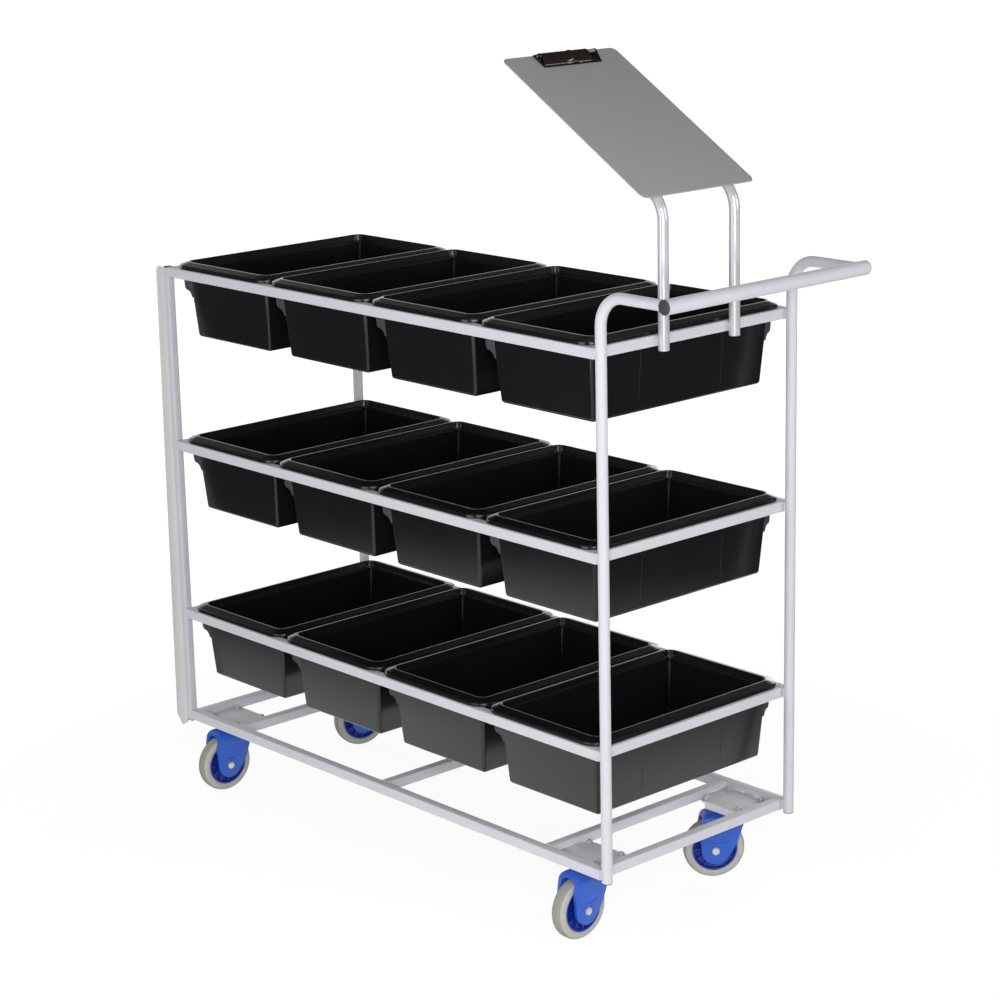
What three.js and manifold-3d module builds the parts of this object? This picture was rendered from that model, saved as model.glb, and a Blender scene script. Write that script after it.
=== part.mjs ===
// Order picking cart: a welded tube frame with three open tiers of lift-out tubs, a push handle,
// a sloping clipboard and four swivel castors. X runs towards the handle, Y across, Z up.
import * as THREE from "three";
import { mergeVertices } from "three/addons/utils/BufferGeometryUtils.js";
import Module from "manifold-3d";

const wasm = await Module();
wasm.setup();

// Driving dimensions in millimetres
const frameLength = 1570;
const frameWidth = 640;
const topTierHeight = 1411;
const lowestTierRise = 286;
const tierCount = 3;
const tubsPerTier = 4;
const railSize = 25;
const tubeDiameter = 25.4;
const wheelRadius = 75;
const seatGap = 0.3;

// What stands between the floor and the top of the base rails: the castor, its plate and a drop
const crownGap = 4.5;
const forkCrown = 15;
const raceGap = 0.5;
const raceHeight = 13.7;
const headThickness = 5;
const plateThickness = 3;
const plateDrop = 13;
const crownHeight = 2 * wheelRadius + crownGap;
const forkTop = crownHeight + forkCrown;
const headTop = forkTop + raceGap + raceHeight + headThickness;
const plateTop = headTop + seatGap + plateThickness;
const baseHeight = plateTop + plateDrop;
const tierPitch = (topTierHeight - baseHeight - lowestTierRise) / Math.max(tierCount - 1, 1);

// How far every cut runs past its piece
const overrun = railSize / 5;

const halfWidth = frameWidth / 2;
const railHalf = railSize / 2;
const tubeRadius = tubeDiameter / 2;
const tierHeights = Array.from({ length: tierCount }, (_, k) => topTierHeight - k * tierPitch);
const sides = [-1, 1];

// Finishes
const finish = {
  powderCoat: { color: 0xd3d2d8, roughness: 0.42, metalness: 0.0 },
  plate: { color: 0xb4b3b9, roughness: 0.5, metalness: 0.1 },
  guard: { color: 0xcfcdcc, roughness: 0.5, metalness: 0.0 },
  tub: { color: 0x17171a, roughness: 0.38, metalness: 0.0 },
  blackCap: { color: 0x1b1b1d, roughness: 0.5, metalness: 0.0 },
  board: { color: 0x8c8c90, roughness: 0.55, metalness: 0.1 },
  clip: { color: 0x3a3230, roughness: 0.25, metalness: 0.9 },
  fork: { color: 0x2d64cd, roughness: 0.35, metalness: 0.0 },
  hub: { color: 0x12309a, roughness: 0.4, metalness: 0.0 },
  tyre: { color: 0xb0afa8, roughness: 0.8, metalness: 0.0 },
  zinc: { color: 0xc9ccd0, roughness: 0.3, metalness: 0.9 },
};

const cart = new THREE.Group();

function add(name, geometry, look, parent = cart) {
  const mesh = new THREE.Mesh(geometry, new THREE.MeshStandardMaterial(look));
  mesh.name = name;
  parent.add(mesh);
  return mesh;
}

// A solid for cutting and joining, from any closed geometry
function solid(geometry) {
  const bare = geometry.clone();
  bare.deleteAttribute("normal");
  bare.deleteAttribute("uv");
  const merged = mergeVertices(bare);
  const corners = merged.index.array;
  const triangles = [];
  for (let k = 0; k < corners.length; k += 3) {
    const [a, b, c] = corners.slice(k, k + 3);
    if (a !== b && b !== c && c !== a) triangles.push(a, b, c);
  }
  const mesh = new wasm.Mesh({
    numProp: 3,
    vertProperties: merged.attributes.position.array,
    triVerts: Uint32Array.from(triangles),
  });
  return new wasm.Manifold(mesh);
}

function fuse(geometries) {
  return geometries.map(solid).reduce((whole, piece) => whole.add(piece));
}

function cut(body, geometries) {
  return geometries.map(solid).reduce((whole, piece) => whole.subtract(piece), body);
}

function geometryOf(body) {
  const mesh = body.getMesh();
  const geometry = new THREE.BufferGeometry();
  geometry.setAttribute("position", new THREE.BufferAttribute(mesh.vertProperties, 3));
  geometry.setIndex(new THREE.BufferAttribute(mesh.triVerts, 1));
  geometry.computeVertexNormals();
  return geometry;
}

// A closed skin through a row of equal convex rings, with a flat cap on the first and last ring
function loft(rings) {
  const count = rings[0].length;
  const positions = rings.flat().flatMap((point) => point.toArray());
  const triangles = [];
  for (let level = 0; level < rings.length - 1; level += 1) {
    for (let k = 0; k < count; k += 1) {
      const a = level * count + k;
      const b = level * count + ((k + 1) % count);
      triangles.push(a, b, b + count, a, b + count, a + count);
    }
  }
  const last = (rings.length - 1) * count;
  for (let k = 1; k < count - 1; k += 1) {
    triangles.push(0, k + 1, k, last, last + k, last + k + 1);
  }
  const geometry = new THREE.BufferGeometry();
  geometry.setAttribute("position", new THREE.Float32BufferAttribute(positions, 3));
  geometry.setIndex(triangles);
  return geometry;
}

// A level ring in the shape of a rectangle with rounded corners
function roundedRing(halfX, halfY, radius, z, steps) {
  const corners = [[1, 1, 0], [-1, 1, 1], [-1, -1, 2], [1, -1, 3]];
  return corners.flatMap(([signX, signY, turn]) =>
    Array.from({ length: steps + 1 }, (_, k) => {
      const angle = (turn + k / steps) * Math.PI / 2;
      const x = signX * (halfX - radius) + radius * Math.cos(angle);
      const y = signY * (halfY - radius) + radius * Math.sin(angle);
      return new THREE.Vector3(x, y, z);
    }));
}

// Square tube section with the small outer radius that it is rolled with
const squareRadius = 2.5;
const squareSteps = 1;

function squareBar(size, length) {
  const ring = (z) => roundedRing(size / 2, size / 2, squareRadius, z, squareSteps);
  return loft([ring(-length / 2), ring(length / 2)]);
}

function barAlongX(size, fromX, toX, y, z) {
  const bar = squareBar(size, toX - fromX);
  bar.rotateY(Math.PI / 2);
  bar.translate((fromX + toX) / 2, y, z);
  return bar;
}

function barAlongY(size, fromY, toY, x, z) {
  const bar = squareBar(size, toY - fromY);
  bar.rotateX(-Math.PI / 2);
  bar.translate(x, (fromY + toY) / 2, z);
  return bar;
}

// Rectangular frames: long side rails run through, and cross rails are welded between them
const weldIn = squareRadius;

function rectangle(topZ, crossRails) {
  const z = topZ - railHalf;
  const sideY = halfWidth - railHalf;
  const reach = halfWidth - railSize + weldIn;
  const rails = sides.map((side) => barAlongX(railSize, -frameLength, 0, side * sideY, z));
  const crosses = crossRails.map((x) => barAlongY(railSize, -reach, reach, x, z));
  return geometryOf(fuse([...rails, ...crosses]));
}

const endRails = [-railHalf, -frameLength + railHalf];

tierHeights.forEach((height, k) => {
  add(`tier_frame_${k + 1}`, rectangle(height, endRails), finish.powderCoat);
});

// Base frame, with a cross rail inboard of each pair of castors and one in the middle
const castorBay = 155;
const innerRail = railSize + castorBay + railHalf;
const baseCrossRails = [...endRails, -innerRail, -frameLength / 2, innerRail - frameLength];

add("base_frame", rectangle(baseHeight, baseCrossRails), finish.powderCoat);

// Castor mounting plates: folded sheet, welded into the corners of the base below the rail tops
const plateLip = 20;
const plateChamfer = 30;
const headLength = 135;
const headWidth = 98;
const headWallGap = 7;
const headLipGap = 1;
const boltInsetX = 15;
const boltInsetY = 9;
const plateDepth = headWallGap + headWidth + headLipGap + plateThickness;
const castorInsetX = railSize + castorBay / 2;
const castorInsetY = railSize + headWallGap + headWidth / 2;
const boltRadius = 4;
const boltHoleRadius = 5;
const boltSides = 8;

function zCylinder(radius, fromZ, toZ, x, y, segments) {
  const post = new THREE.CylinderGeometry(radius, radius, toZ - fromZ, segments);
  post.rotateX(Math.PI / 2);
  post.translate(x, y, (fromZ + toZ) / 2);
  return post;
}

function boltPlaces() {
  const halfX = headLength / 2 - boltInsetX;
  const halfY = headWidth / 2 - boltInsetY;
  return [[-halfX, -halfY], [halfX, -halfY], [halfX, halfY], [-halfX, halfY]];
}

// The plate is drawn for the handle end, on the side given, and is turned end for end for the other
function castorPlate(side) {
  const fromX = -railSize - seatGap;
  const toX = -railSize - castorBay + seatGap;
  const wallY = halfWidth - railSize - seatGap;
  const lipY = halfWidth - railSize - plateDepth;
  const outline = new THREE.Shape();
  outline.moveTo(fromX, wallY);
  outline.lineTo(toX, wallY);
  outline.lineTo(toX, lipY + plateChamfer);
  outline.lineTo(toX + plateChamfer, lipY);
  outline.lineTo(fromX, lipY);
  outline.closePath();
  const sheet = new THREE.ExtrudeGeometry(outline, { depth: plateThickness, bevelEnabled: false });
  sheet.translate(0, 0, plateTop - plateThickness);
  const lipLength = castorBay - 2 * seatGap - plateChamfer;
  const lip = new THREE.BoxGeometry(lipLength, plateThickness, plateLip);
  lip.translate(fromX - lipLength / 2, lipY + plateThickness / 2, plateTop - plateLip / 2);
  const holes = boltPlaces().map(([x, y]) => zCylinder(boltHoleRadius,
    plateTop - plateThickness - overrun, plateTop + overrun,
    x - castorInsetX, y + halfWidth - castorInsetY, boltSides));
  const geometry = geometryOf(cut(fuse([sheet, lip]), holes));
  if (side < 0) mirrorY(geometry);
  return geometry;
}

// Mirrors a finished geometry across the cart and turns its triangles the right way round again
function mirrorY(geometry) {
  geometry.scale(1, -1, 1);
  const index = geometry.index.array;
  for (let k = 0; k < index.length; k += 3) {
    [index[k], index[k + 1]] = [index[k + 1], index[k]];
  }
  geometry.computeVertexNormals();
}

// Corners of the cart: end is 0 at the handle and 1 at the far end, side is -1 or 1 across
const corners = [
  { name: "handle_left", end: 0, side: -1 },
  { name: "handle_right", end: 0, side: 1 },
  { name: "far_left", end: 1, side: -1 },
  { name: "far_right", end: 1, side: 1 },
];

corners.forEach(({ name, end, side }) => {
  const plate = castorPlate(end === 0 ? side : -side);
  if (end === 1) {
    plate.rotateZ(Math.PI);
    plate.translate(-frameLength, 0, 0);
  }
  add(`castor_plate_${name}`, plate, finish.plate);
});

// Round tube that stands on the end of the cart, is bent once over or back, and runs on straight
const tubeSides = 14;
const bendSteps = 5;
const postX = tubeRadius + seatGap;

function bentTube(y, footZ, bendZ, bendRadius, turn, reach) {
  const hand = Math.sign(turn);
  const centreX = postX - hand * bendRadius;
  const stations = [[postX, footZ, Math.PI / 2]];
  for (let k = 0; k <= bendSteps; k += 1) {
    const heading = Math.PI / 2 + turn * k / bendSteps;
    stations.push([centreX + hand * bendRadius * Math.sin(heading),
      bendZ - hand * bendRadius * Math.cos(heading), heading]);
  }
  const [lastX, lastZ, heading] = stations[stations.length - 1];
  stations.push([lastX + reach * Math.cos(heading), lastZ + reach * Math.sin(heading), heading]);
  return loft(stations.map(([x, z, facing]) => Array.from({ length: tubeSides }, (_, k) => {
    const angle = k / tubeSides * 2 * Math.PI;
    const outward = tubeRadius * Math.cos(angle);
    return new THREE.Vector3(x + outward * Math.sin(facing), y + tubeRadius * Math.sin(angle),
      z - outward * Math.cos(facing));
  })));
}

// Push handle: the two round posts are bent over and coped on to a fatter cross bar
const handleBarRadius = 16.85;
const handleBarWall = 2.6;
const handleOverhang = 2;
const handleRise = 116;
const handleReach = 218;
const handleBend = 68;
const postFootDrop = 4;
const capThickness = 2.5;
const capSpigot = 12;
const plugWall = 1.6;
const plugDepth = 12;
const barSides = 20;
const handleBarLength = frameWidth + 2 * handleOverhang;
const handleZ = topTierHeight + handleRise;
const postY = halfWidth - railHalf;
const postFoot = baseHeight - railSize - postFootDrop;

function yCylinder(radius, length, x, y, z, segments) {
  const bar = new THREE.CylinderGeometry(radius, radius, length, segments);
  bar.translate(x, y, z);
  return bar;
}

sides.forEach((side) => {
  const y = side * postY;
  const tube = bentTube(y, postFoot, handleZ - handleBend, handleBend, -Math.PI / 2,
    handleReach - postX - handleBend);
  const cope = yCylinder(handleBarRadius + seatGap, handleBarLength, handleReach, 0, handleZ, barSides);
  const socket = zCylinder(tubeRadius - plugWall, postFoot - overrun, postFoot + plugDepth,
    postX, y, tubeSides);
  const post = cut(solid(tube), [cope, socket]);
  add(`handle_post_${side < 0 ? "left" : "right"}`, geometryOf(post), finish.powderCoat);
});

sides.forEach((side) => {
  const y = side * postY;
  const spigot = zCylinder(tubeRadius - plugWall - seatGap, postFoot - capThickness / 2,
    postFoot + plugDepth - seatGap, postX, y, tubeSides);
  const button = zCylinder(tubeRadius, postFoot - capThickness, postFoot - seatGap,
    postX, y, tubeSides);
  add(`post_plug_${side < 0 ? "left" : "right"}`, geometryOf(fuse([spigot, button])),
    finish.blackCap);
});

// The cross bar is an open tube with a push-in cap at each end
const barOuter = yCylinder(handleBarRadius, handleBarLength, handleReach, 0, handleZ, barSides);
const barBore = yCylinder(handleBarRadius - handleBarWall, handleBarLength + overrun,
  handleReach, 0, handleZ, barSides);
add("handle_bar", geometryOf(cut(solid(barOuter), [barBore])), finish.powderCoat);

sides.forEach((side) => {
  const end = side * handleBarLength / 2;
  const spigotRadius = handleBarRadius - handleBarWall - seatGap;
  const crownRadius = handleBarRadius - capThickness / 2;
  const profile = [
    [0, -capSpigot],
    [spigotRadius, -capSpigot],
    [spigotRadius, seatGap],
    [handleBarRadius, seatGap],
    [handleBarRadius, capThickness / 2],
    [crownRadius, capThickness],
    [0, capThickness],
  ].map(([radius, along]) => new THREE.Vector2(radius, along));
  const cap = new THREE.LatheGeometry(profile, barSides);
  if (side < 0) cap.rotateX(Math.PI);
  cap.translate(handleReach, end, handleZ);
  add(`handle_cap_${side < 0 ? "left" : "right"}`, cap, finish.blackCap);
});

// Square posts at the far end, open at both ends, with a push-in cap on top and one at the foot
const farPostSize = 20;
const farPostWall = 1.8;
const farPostX = -frameLength - farPostSize / 2 - seatGap;
const farPostFoot = postFoot;
const farPostTop = topTierHeight - capThickness;

function squareSpigot(size, fromZ, toZ, y) {
  const block = squareBar(size, toZ - fromZ);
  block.translate(farPostX, y, (fromZ + toZ) / 2);
  return block;
}

function squareCap(end, direction, y) {
  const spigotSize = farPostSize - 2 * (farPostWall + seatGap);
  const near = [end + direction * seatGap, end + direction * capThickness];
  const deep = [end - direction * capSpigot, end + direction * capThickness / 2];
  const head = squareSpigot(farPostSize, Math.min(...near), Math.max(...near), y);
  const spigot = squareSpigot(spigotSize, Math.min(...deep), Math.max(...deep), y);
  return geometryOf(fuse([head, spigot]));
}

sides.forEach((side) => {
  const label = side < 0 ? "left" : "right";
  const y = side * postY;
  const bore = farPostSize - 2 * farPostWall;
  const sockets = [
    squareSpigot(bore, farPostFoot - overrun, farPostFoot + capSpigot + seatGap, y),
    squareSpigot(bore, farPostTop - capSpigot - seatGap, farPostTop + overrun, y),
  ];
  const tube = solid(squareSpigot(farPostSize, farPostFoot, farPostTop, y));
  add(`far_post_${label}`, geometryOf(cut(tube, sockets)), finish.powderCoat);
  add(`far_post_cap_${label}`, squareCap(farPostTop, 1, y), finish.blackCap);
  add(`far_post_foot_${label}`, squareCap(farPostFoot, -1, y), finish.blackCap);
});

// Guard strip: flat bar on edge along the left far post, wider towards the floor
const guardThickness = 3;
const guardTopReach = 32;
const guardBottomReach = 47;
const guardTopPoint = 6;
const guardBottomPoint = 28;
const guardDrop = 24;
const guardFoot = postFoot - guardDrop;

const guardOutline = new THREE.Shape();
const guardTop = topTierHeight - seatGap;
guardOutline.moveTo(0, guardTop - guardTopPoint);
guardOutline.lineTo(-guardTopReach / 2, guardTop);
guardOutline.lineTo(-guardTopReach, guardTop - guardTopPoint);
guardOutline.lineTo(-guardBottomReach, guardFoot + guardBottomPoint);
guardOutline.lineTo(-guardBottomReach / 2, guardFoot);
guardOutline.lineTo(0, guardFoot + guardBottomPoint / 2);
guardOutline.closePath();
const guardStrip = new THREE.ExtrudeGeometry(guardOutline, {
  depth: guardThickness,
  bevelEnabled: false,
});
guardStrip.rotateX(Math.PI / 2);
guardStrip.translate(farPostX - farPostSize / 2 - seatGap, guardThickness - postY - farPostSize / 2, 0);
add("guard_strip", guardStrip, finish.guard);

// Clipboard: a sheet on two bent round tubes that stand on the handle end of the top tier
const boardLength = 522;
const boardWidth = 355;
const boardThickness = 3;
const boardCorner = 16;
const boardTilt = 0.548;
const boardFootReach = 17.2;
const boardFootRise = 309.8;
const boardTubeInset = 63.5;
const boardTubeBend = 75;
const boardTubeShortfall = 260;
const boardTubeDrop = 9;
const boardFootZ = topTierHeight + boardFootRise;
const boardTubeY = boardWidth / 2 - boardTubeInset;
const boardTubeReach = boardLength - boardTubeShortfall;
const boardTubeFoot = topTierHeight - railSize - boardTubeDrop;

// Moves a piece drawn flat, x up the board and z out of its face, on to the sloping board
function placeOnBoard(geometry) {
  geometry.rotateZ(Math.PI);
  geometry.rotateY(boardTilt);
  geometry.translate(boardFootReach, 0, boardFootZ);
  return geometry;
}

function roundedSheet(length, width, radius, depth, steps) {
  const ring = (z) => roundedRing(length / 2, width / 2, radius, z, steps);
  const sheet = loft([ring(0), ring(depth)]);
  sheet.translate(length / 2, 0, 0);
  return sheet;
}

const boardSteps = 5;
const board = roundedSheet(boardLength, boardWidth, boardCorner, boardThickness, boardSteps);
board.translate(0, 0, -boardThickness);
add("clipboard_board", placeOnBoard(board), finish.board);

// The point at a distance up the board and out from its face, in the plane across the cart
function boardPoint(up, out, y) {
  const place = new THREE.Vector3(up, 0, out).applyAxisAngle(new THREE.Vector3(0, 0, 1), Math.PI);
  place.applyAxisAngle(new THREE.Vector3(0, 1, 0), boardTilt);
  return new THREE.Vector3(place.x + boardFootReach, y, place.z + boardFootZ);
}

sides.forEach((side) => {
  const y = side * boardTubeY;
  const depth = boardThickness + seatGap + tubeRadius;
  const turn = Math.PI / 2 - boardTilt;
  const axis = boardPoint(0, -depth, y);
  const cornerUp = (axis.x - postX) / Math.cos(boardTilt);
  const tangent = boardTubeBend * Math.tan(turn / 2);
  const bendZ = boardPoint(cornerUp, -depth, y).z - tangent;
  const tube = bentTube(y, boardTubeFoot, bendZ, boardTubeBend, turn,
    boardTubeReach - cornerUp - tangent);
  add(`clipboard_tube_${side < 0 ? "left" : "right"}`, tube, finish.powderCoat);
});

// Paper clip: a base plate with two ears, a sprung jaw of folded sheet and the pin it turns on
const clipDepth = 48;
const clipWidth = 182;
const clipOffset = 8;
const clipSheet = 1.6;
const clipPinInset = 15;
const clipPinOut = 9;
const clipPinRadius = 2;
const clipEarRadius = 5;
const clipTail = 17;
const clipSides = 8;
const springRoom = 33;
const springRadius = 4.6;
const hangerWidth = 12;
const hangerRise = 2.6;
const hangerOffset = 14;
const clipFront = boardLength - clipDepth;
const clipPinUp = boardLength - clipPinInset;
const clipBaseTop = seatGap + clipSheet;

// A flat outline along the board and out from it, drawn out across the board
function acrossBoard(outline, width, offset) {
  const piece = new THREE.ExtrudeGeometry(outline, { depth: width, bevelEnabled: false });
  piece.rotateX(Math.PI / 2);
  piece.translate(0, width / 2 - offset, 0);
  return piece;
}

function pinRod(radius, width, offset) {
  return yCylinder(radius, width, clipPinUp, -offset, clipPinOut, clipSides);
}

function clipBase() {
  const floor = new THREE.Shape();
  floor.moveTo(clipFront, seatGap);
  floor.lineTo(boardLength, seatGap);
  floor.lineTo(boardLength, clipBaseTop);
  floor.lineTo(clipFront, clipBaseTop);
  floor.closePath();
  const ears = sides.map((side) => {
    const ear = new THREE.Shape();
    ear.moveTo(clipFront + clipEarRadius, seatGap);
    ear.lineTo(boardLength, seatGap);
    ear.lineTo(clipPinUp + clipEarRadius, clipPinOut);
    ear.absarc(clipPinUp, clipPinOut, clipEarRadius, 0, Math.PI / 2);
    ear.closePath();
    return acrossBoard(ear, clipSheet, clipOffset + side * (clipWidth - clipSheet) / 2);
  });
  const base = fuse([acrossBoard(floor, clipWidth, clipOffset), ...ears]);
  const hole = pinRod(clipPinRadius + seatGap, clipWidth + overrun, clipOffset);
  return geometryOf(cut(base, [hole]));
}

// The jaw lies on the base plate in front, slopes up to a thumb edge and folds round the pin. It
// stops short of one ear, where the spring sits on the pin, and a small hanger stands on its back
const jawWidth = clipWidth - 2 * (clipSheet + seatGap) - springRoom;
const jawOffset = clipOffset - springRoom / 2;

function clipLever() {
  const jawFloor = clipBaseTop + seatGap;
  const thumbTop = clipTail + clipSheet;
  const thumbUp = clipPinUp - clipEarRadius;
  const profile = new THREE.Shape();
  profile.moveTo(clipFront, jawFloor);
  profile.lineTo(clipFront + clipSheet, jawFloor);
  profile.lineTo(thumbUp, clipPinOut - clipPinRadius);
  profile.quadraticCurveTo(clipPinUp, clipPinOut - 2 * clipEarRadius,
    clipPinUp + clipEarRadius, clipPinOut);
  profile.quadraticCurveTo(clipPinUp + clipEarRadius, thumbTop - clipSheet, thumbUp, thumbTop);
  profile.lineTo(thumbUp - 2 * clipEarRadius, clipTail);
  profile.closePath();
  const hanger = new THREE.Shape();
  hanger.moveTo(thumbUp, thumbTop - clipSheet);
  hanger.lineTo(thumbUp + clipSheet, thumbTop - clipSheet);
  hanger.lineTo(thumbUp + clipSheet, thumbTop + hangerRise);
  hanger.lineTo(thumbUp, thumbTop + hangerRise);
  hanger.closePath();
  const jaw = fuse([acrossBoard(profile, jawWidth, jawOffset),
    acrossBoard(hanger, hangerWidth, jawOffset + hangerOffset)]);
  return geometryOf(cut(jaw, [pinRod(clipPinRadius + seatGap, clipWidth + overrun, jawOffset)]));
}

// The pin, with the coil spring drawn as a sleeve on it between the jaw and the ear
function clipPin() {
  const springLength = springRoom - 2 * seatGap;
  const springOffset = jawOffset + (jawWidth + springRoom) / 2;
  const rod = pinRod(clipPinRadius, clipWidth + clipPinRadius, clipOffset);
  return geometryOf(fuse([rod, pinRod(springRadius, springLength, springOffset)]));
}

add("clip_base", placeOnBoard(clipBase()), finish.clip);
add("clip_lever", placeOnBoard(clipLever()), finish.clip);
add("clip_pin", placeOnBoard(clipPin()), finish.zinc);

// Tubs: thin drafted shells whose curled rims hang on the side rails
const tubRowPlay = 22;
const tubEndPlay = 8.5;
const tubSidePlay = 12;
const tubGap = 2;
const tubRimWidth = 28;
const tubRimHeight = 16.5;
const tubRimCorner = 48;
const tubSkin = 3;
const tubLedge = 3.5;
const tubDepth = 181;
const tubDraft = 0.075;
const tubFloorRadius = 8;
const tubFloorCorner = 13;
const tubSteps = 3;
const lugThickness = 6;
const lugReach = 16;
const lugAcrossReach = 8.5;
const lugDepth = 44;
const lugCurve = 9;

const tubPitch = (frameLength - tubRowPlay) / tubsPerTier;
const tubRimX = tubPitch - tubGap;
const tubRimY = frameWidth - tubSidePlay;
const tubFirst = tubEndPlay + tubRimX / 2;
const rimInnerX = tubRimX / 2 - tubRimWidth;
const rimInnerY = tubRimY / 2 - tubRimWidth;
const rimInnerCorner = tubRimCorner - tubRimWidth;

// A level ring of the tub, moved out from the inner edge of the rim by a distance
function tubRing(out, z, corner) {
  return roundedRing(rimInnerX + out, rimInnerY + out, corner, z, tubSteps);
}

// Corner radius of the wall shrinks evenly from the rim down to the floor
function wallCorner(depth, out) {
  const share = depth / tubDepth;
  return rimInnerCorner + (tubFloorCorner - rimInnerCorner) * share + out;
}

function wallRing(depth, out) {
  const inset = out - depth * tubDraft;
  return tubRing(inset, -depth, wallCorner(depth, out));
}

// Points round a quarter of the curled rim, which is an ellipse in section
function rimRing(angle, thin) {
  const out = (tubRimWidth - thin) * Math.sin(angle);
  const z = (tubRimHeight - thin) * Math.cos(angle);
  return tubRing(out, Math.max(z, seatGap), rimInnerCorner + out);
}

function tubOuter() {
  const wall = tubSkin + seatGap;
  const rings = [
    tubRing(-tubDepth * tubDraft - tubFloorRadius, -tubDepth, tubFloorCorner - tubFloorRadius / 2),
    wallRing(tubDepth - tubFloorRadius, 0),
    wallRing(seatGap, 0),
    tubRing(wall, seatGap, rimInnerCorner + wall),
    tubRing(wall, tubRimHeight - tubSkin - seatGap, rimInnerCorner + wall),
    rimRing(Math.PI / 2, tubSkin),
    rimRing(Math.PI / 2, 0),
    rimRing(Math.PI / 4, 0),
    tubRing(wall / 2, tubRimHeight, rimInnerCorner + wall / 2),
  ];
  return loft(rings);
}

function tubCavity() {
  const floorDepth = tubDepth - tubSkin;
  const rings = [
    tubRing(-floorDepth * tubDraft - tubLedge - tubFloorRadius, -floorDepth,
      tubFloorCorner - tubFloorRadius),
    wallRing(floorDepth - tubFloorRadius, -tubLedge),
    wallRing(tubSkin / 2, -tubLedge),
    tubRing(-tubSkin / 2, 0, rimInnerCorner - tubSkin / 2),
    tubRing(0, tubRimHeight, rimInnerCorner),
    tubRing(0, tubRimHeight + overrun, rimInnerCorner),
  ];
  return loft(rings);
}

// A thin web under a rim corner, in line with one wall and standing out from the next one
function lug(reach, direction) {
  const points = [
    [-rimInnerCorner, tubRimHeight - 2 * tubSkin / 3],
    [0, tubRimHeight - 2 * tubSkin / 3],
    [reach, tubRimHeight / 2],
    [reach - tubSkin / 2, lugCurve - lugDepth],
    [reach - lugCurve * 2 / 3, -lugDepth],
    [tubSkin / 2, -lugDepth],
    [-tubSkin, -lugDepth - lugCurve],
    [-rimInnerCorner, -lugDepth - lugCurve],
  ];
  const outline = new THREE.Shape(points.map(([out, z]) => new THREE.Vector2(direction * out, z)));
  const web = new THREE.ExtrudeGeometry(outline, {
    depth: lugThickness,
    bevelEnabled: false,
  });
  web.rotateX(Math.PI / 2);
  web.translate(0, lugThickness, 0);
  web.applyMatrix4(new THREE.Matrix4().makeShear(0, 0, 0, 0, 0, -tubDraft));
  return web;
}

// Where the webs stand: the corner, which way each reaches and how far it is turned
const lugPlaces = [
  { signX: -1, signY: -1, reach: lugReach, direction: -1, turn: 0 },
  { signX: -1, signY: 1, reach: lugReach, direction: 1, turn: Math.PI },
  { signX: 1, signY: 1, reach: lugAcrossReach, direction: 1, turn: Math.PI / 2 },
];

function tubShell() {
  const lugs = lugPlaces.map(({ signX, signY, reach, direction, turn }) => {
    const web = lug(reach, direction);
    web.rotateZ(turn);
    web.translate(signX * rimInnerX, signY * rimInnerY, 0);
    return web;
  });
  return geometryOf(cut(fuse([tubOuter(), ...lugs]), [tubCavity()]));
}

const shell = tubShell();
tierHeights.forEach((height, tier) => {
  for (let k = 0; k < tubsPerTier; k += 1) {
    const tub = shell.clone();
    tub.translate(-tubFirst - k * tubPitch, 0, height);
    add(`tub_${tier + 1}_${k + 1}`, tub, finish.tub);
  }
});

// Castors: each is drawn about its own upright swivel axis, with the wheel trailing behind it
const tyreWidth = 39;
const tyreShoulder = 12;
const hubRadius = 55;
const hubHalf = 21;
const hubRim = 17;
const hubDish = 9;
const hubBoss = 15;
const trailLength = 50;
const forkHalf = 32;
const forkSlot = 22.5;
const forkShoulder = 22;
const forkEye = 34;
const forkEyeShare = 0.79;
const forkChin = 11;
const forkThroatX = 4;
const forkNeckX = 14;
const forkNeckDrop = 41.5;
const forkBrowX = 26;
const forkBrowRound = 7.5;
const forkBackX = 64;
const forkRumpX = 82;
const forkRumpDrop = 26.5;
const forkHeelX = 87;
const forkHeelDrop = 54.5;
const raceRadius = 35;
const headCorner = 8;
const kingRadius = 8;
const kingNutRadius = 12;
const nutHeight = 7;
const kingNutHeight = 8;
const nutRadius = 7.5;
const nutSides = 6;
const axleRadius = 5;
const axleHeadRadius = 10;
const axleHeadHeight = 5;
const wheelSides = 24;
const smallSides = 10;
const castorCurveSteps = 4;

// A ring-shaped piece turned about its axis, from half a section that is mirrored end for end
function turnedRing(half, segments) {
  const otherHalf = half.map(([radius, along]) => [radius, -along]);
  const loop = [...otherHalf, ...half.reverse(), otherHalf[0]];
  const points = loop.map(([radius, along]) => new THREE.Vector2(radius, along));
  return new THREE.LatheGeometry(points, segments);
}

// The fixed head: a flat plate with four studs and nuts, the swivel race and the king pin
function castorHead() {
  const plate = roundedSheet(headLength, headWidth, headCorner, headThickness, squareSteps);
  plate.translate(-headLength / 2, 0, headTop - headThickness);
  const studs = boltPlaces().flatMap(([x, y]) => [
    zCylinder(boltRadius, headTop - headThickness / 2, plateTop + nutHeight + capThickness,
      x, y, boltSides),
    zCylinder(nutRadius, plateTop + seatGap, plateTop + nutHeight, x, y, nutSides),
  ]);
  const race = zCylinder(raceRadius, forkTop + raceGap, headTop - headThickness / 2, 0, 0,
    wheelSides);
  const king = zCylinder(kingRadius, crownHeight - kingNutHeight, headTop - headThickness / 2, 0, 0,
    smallSides);
  const kingNut = zCylinder(kingNutRadius, crownHeight - kingNutHeight, crownHeight - raceGap, 0, 0,
    nutSides);
  return geometryOf(fuse([plate, race, king, kingNut, ...studs]));
}

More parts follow.
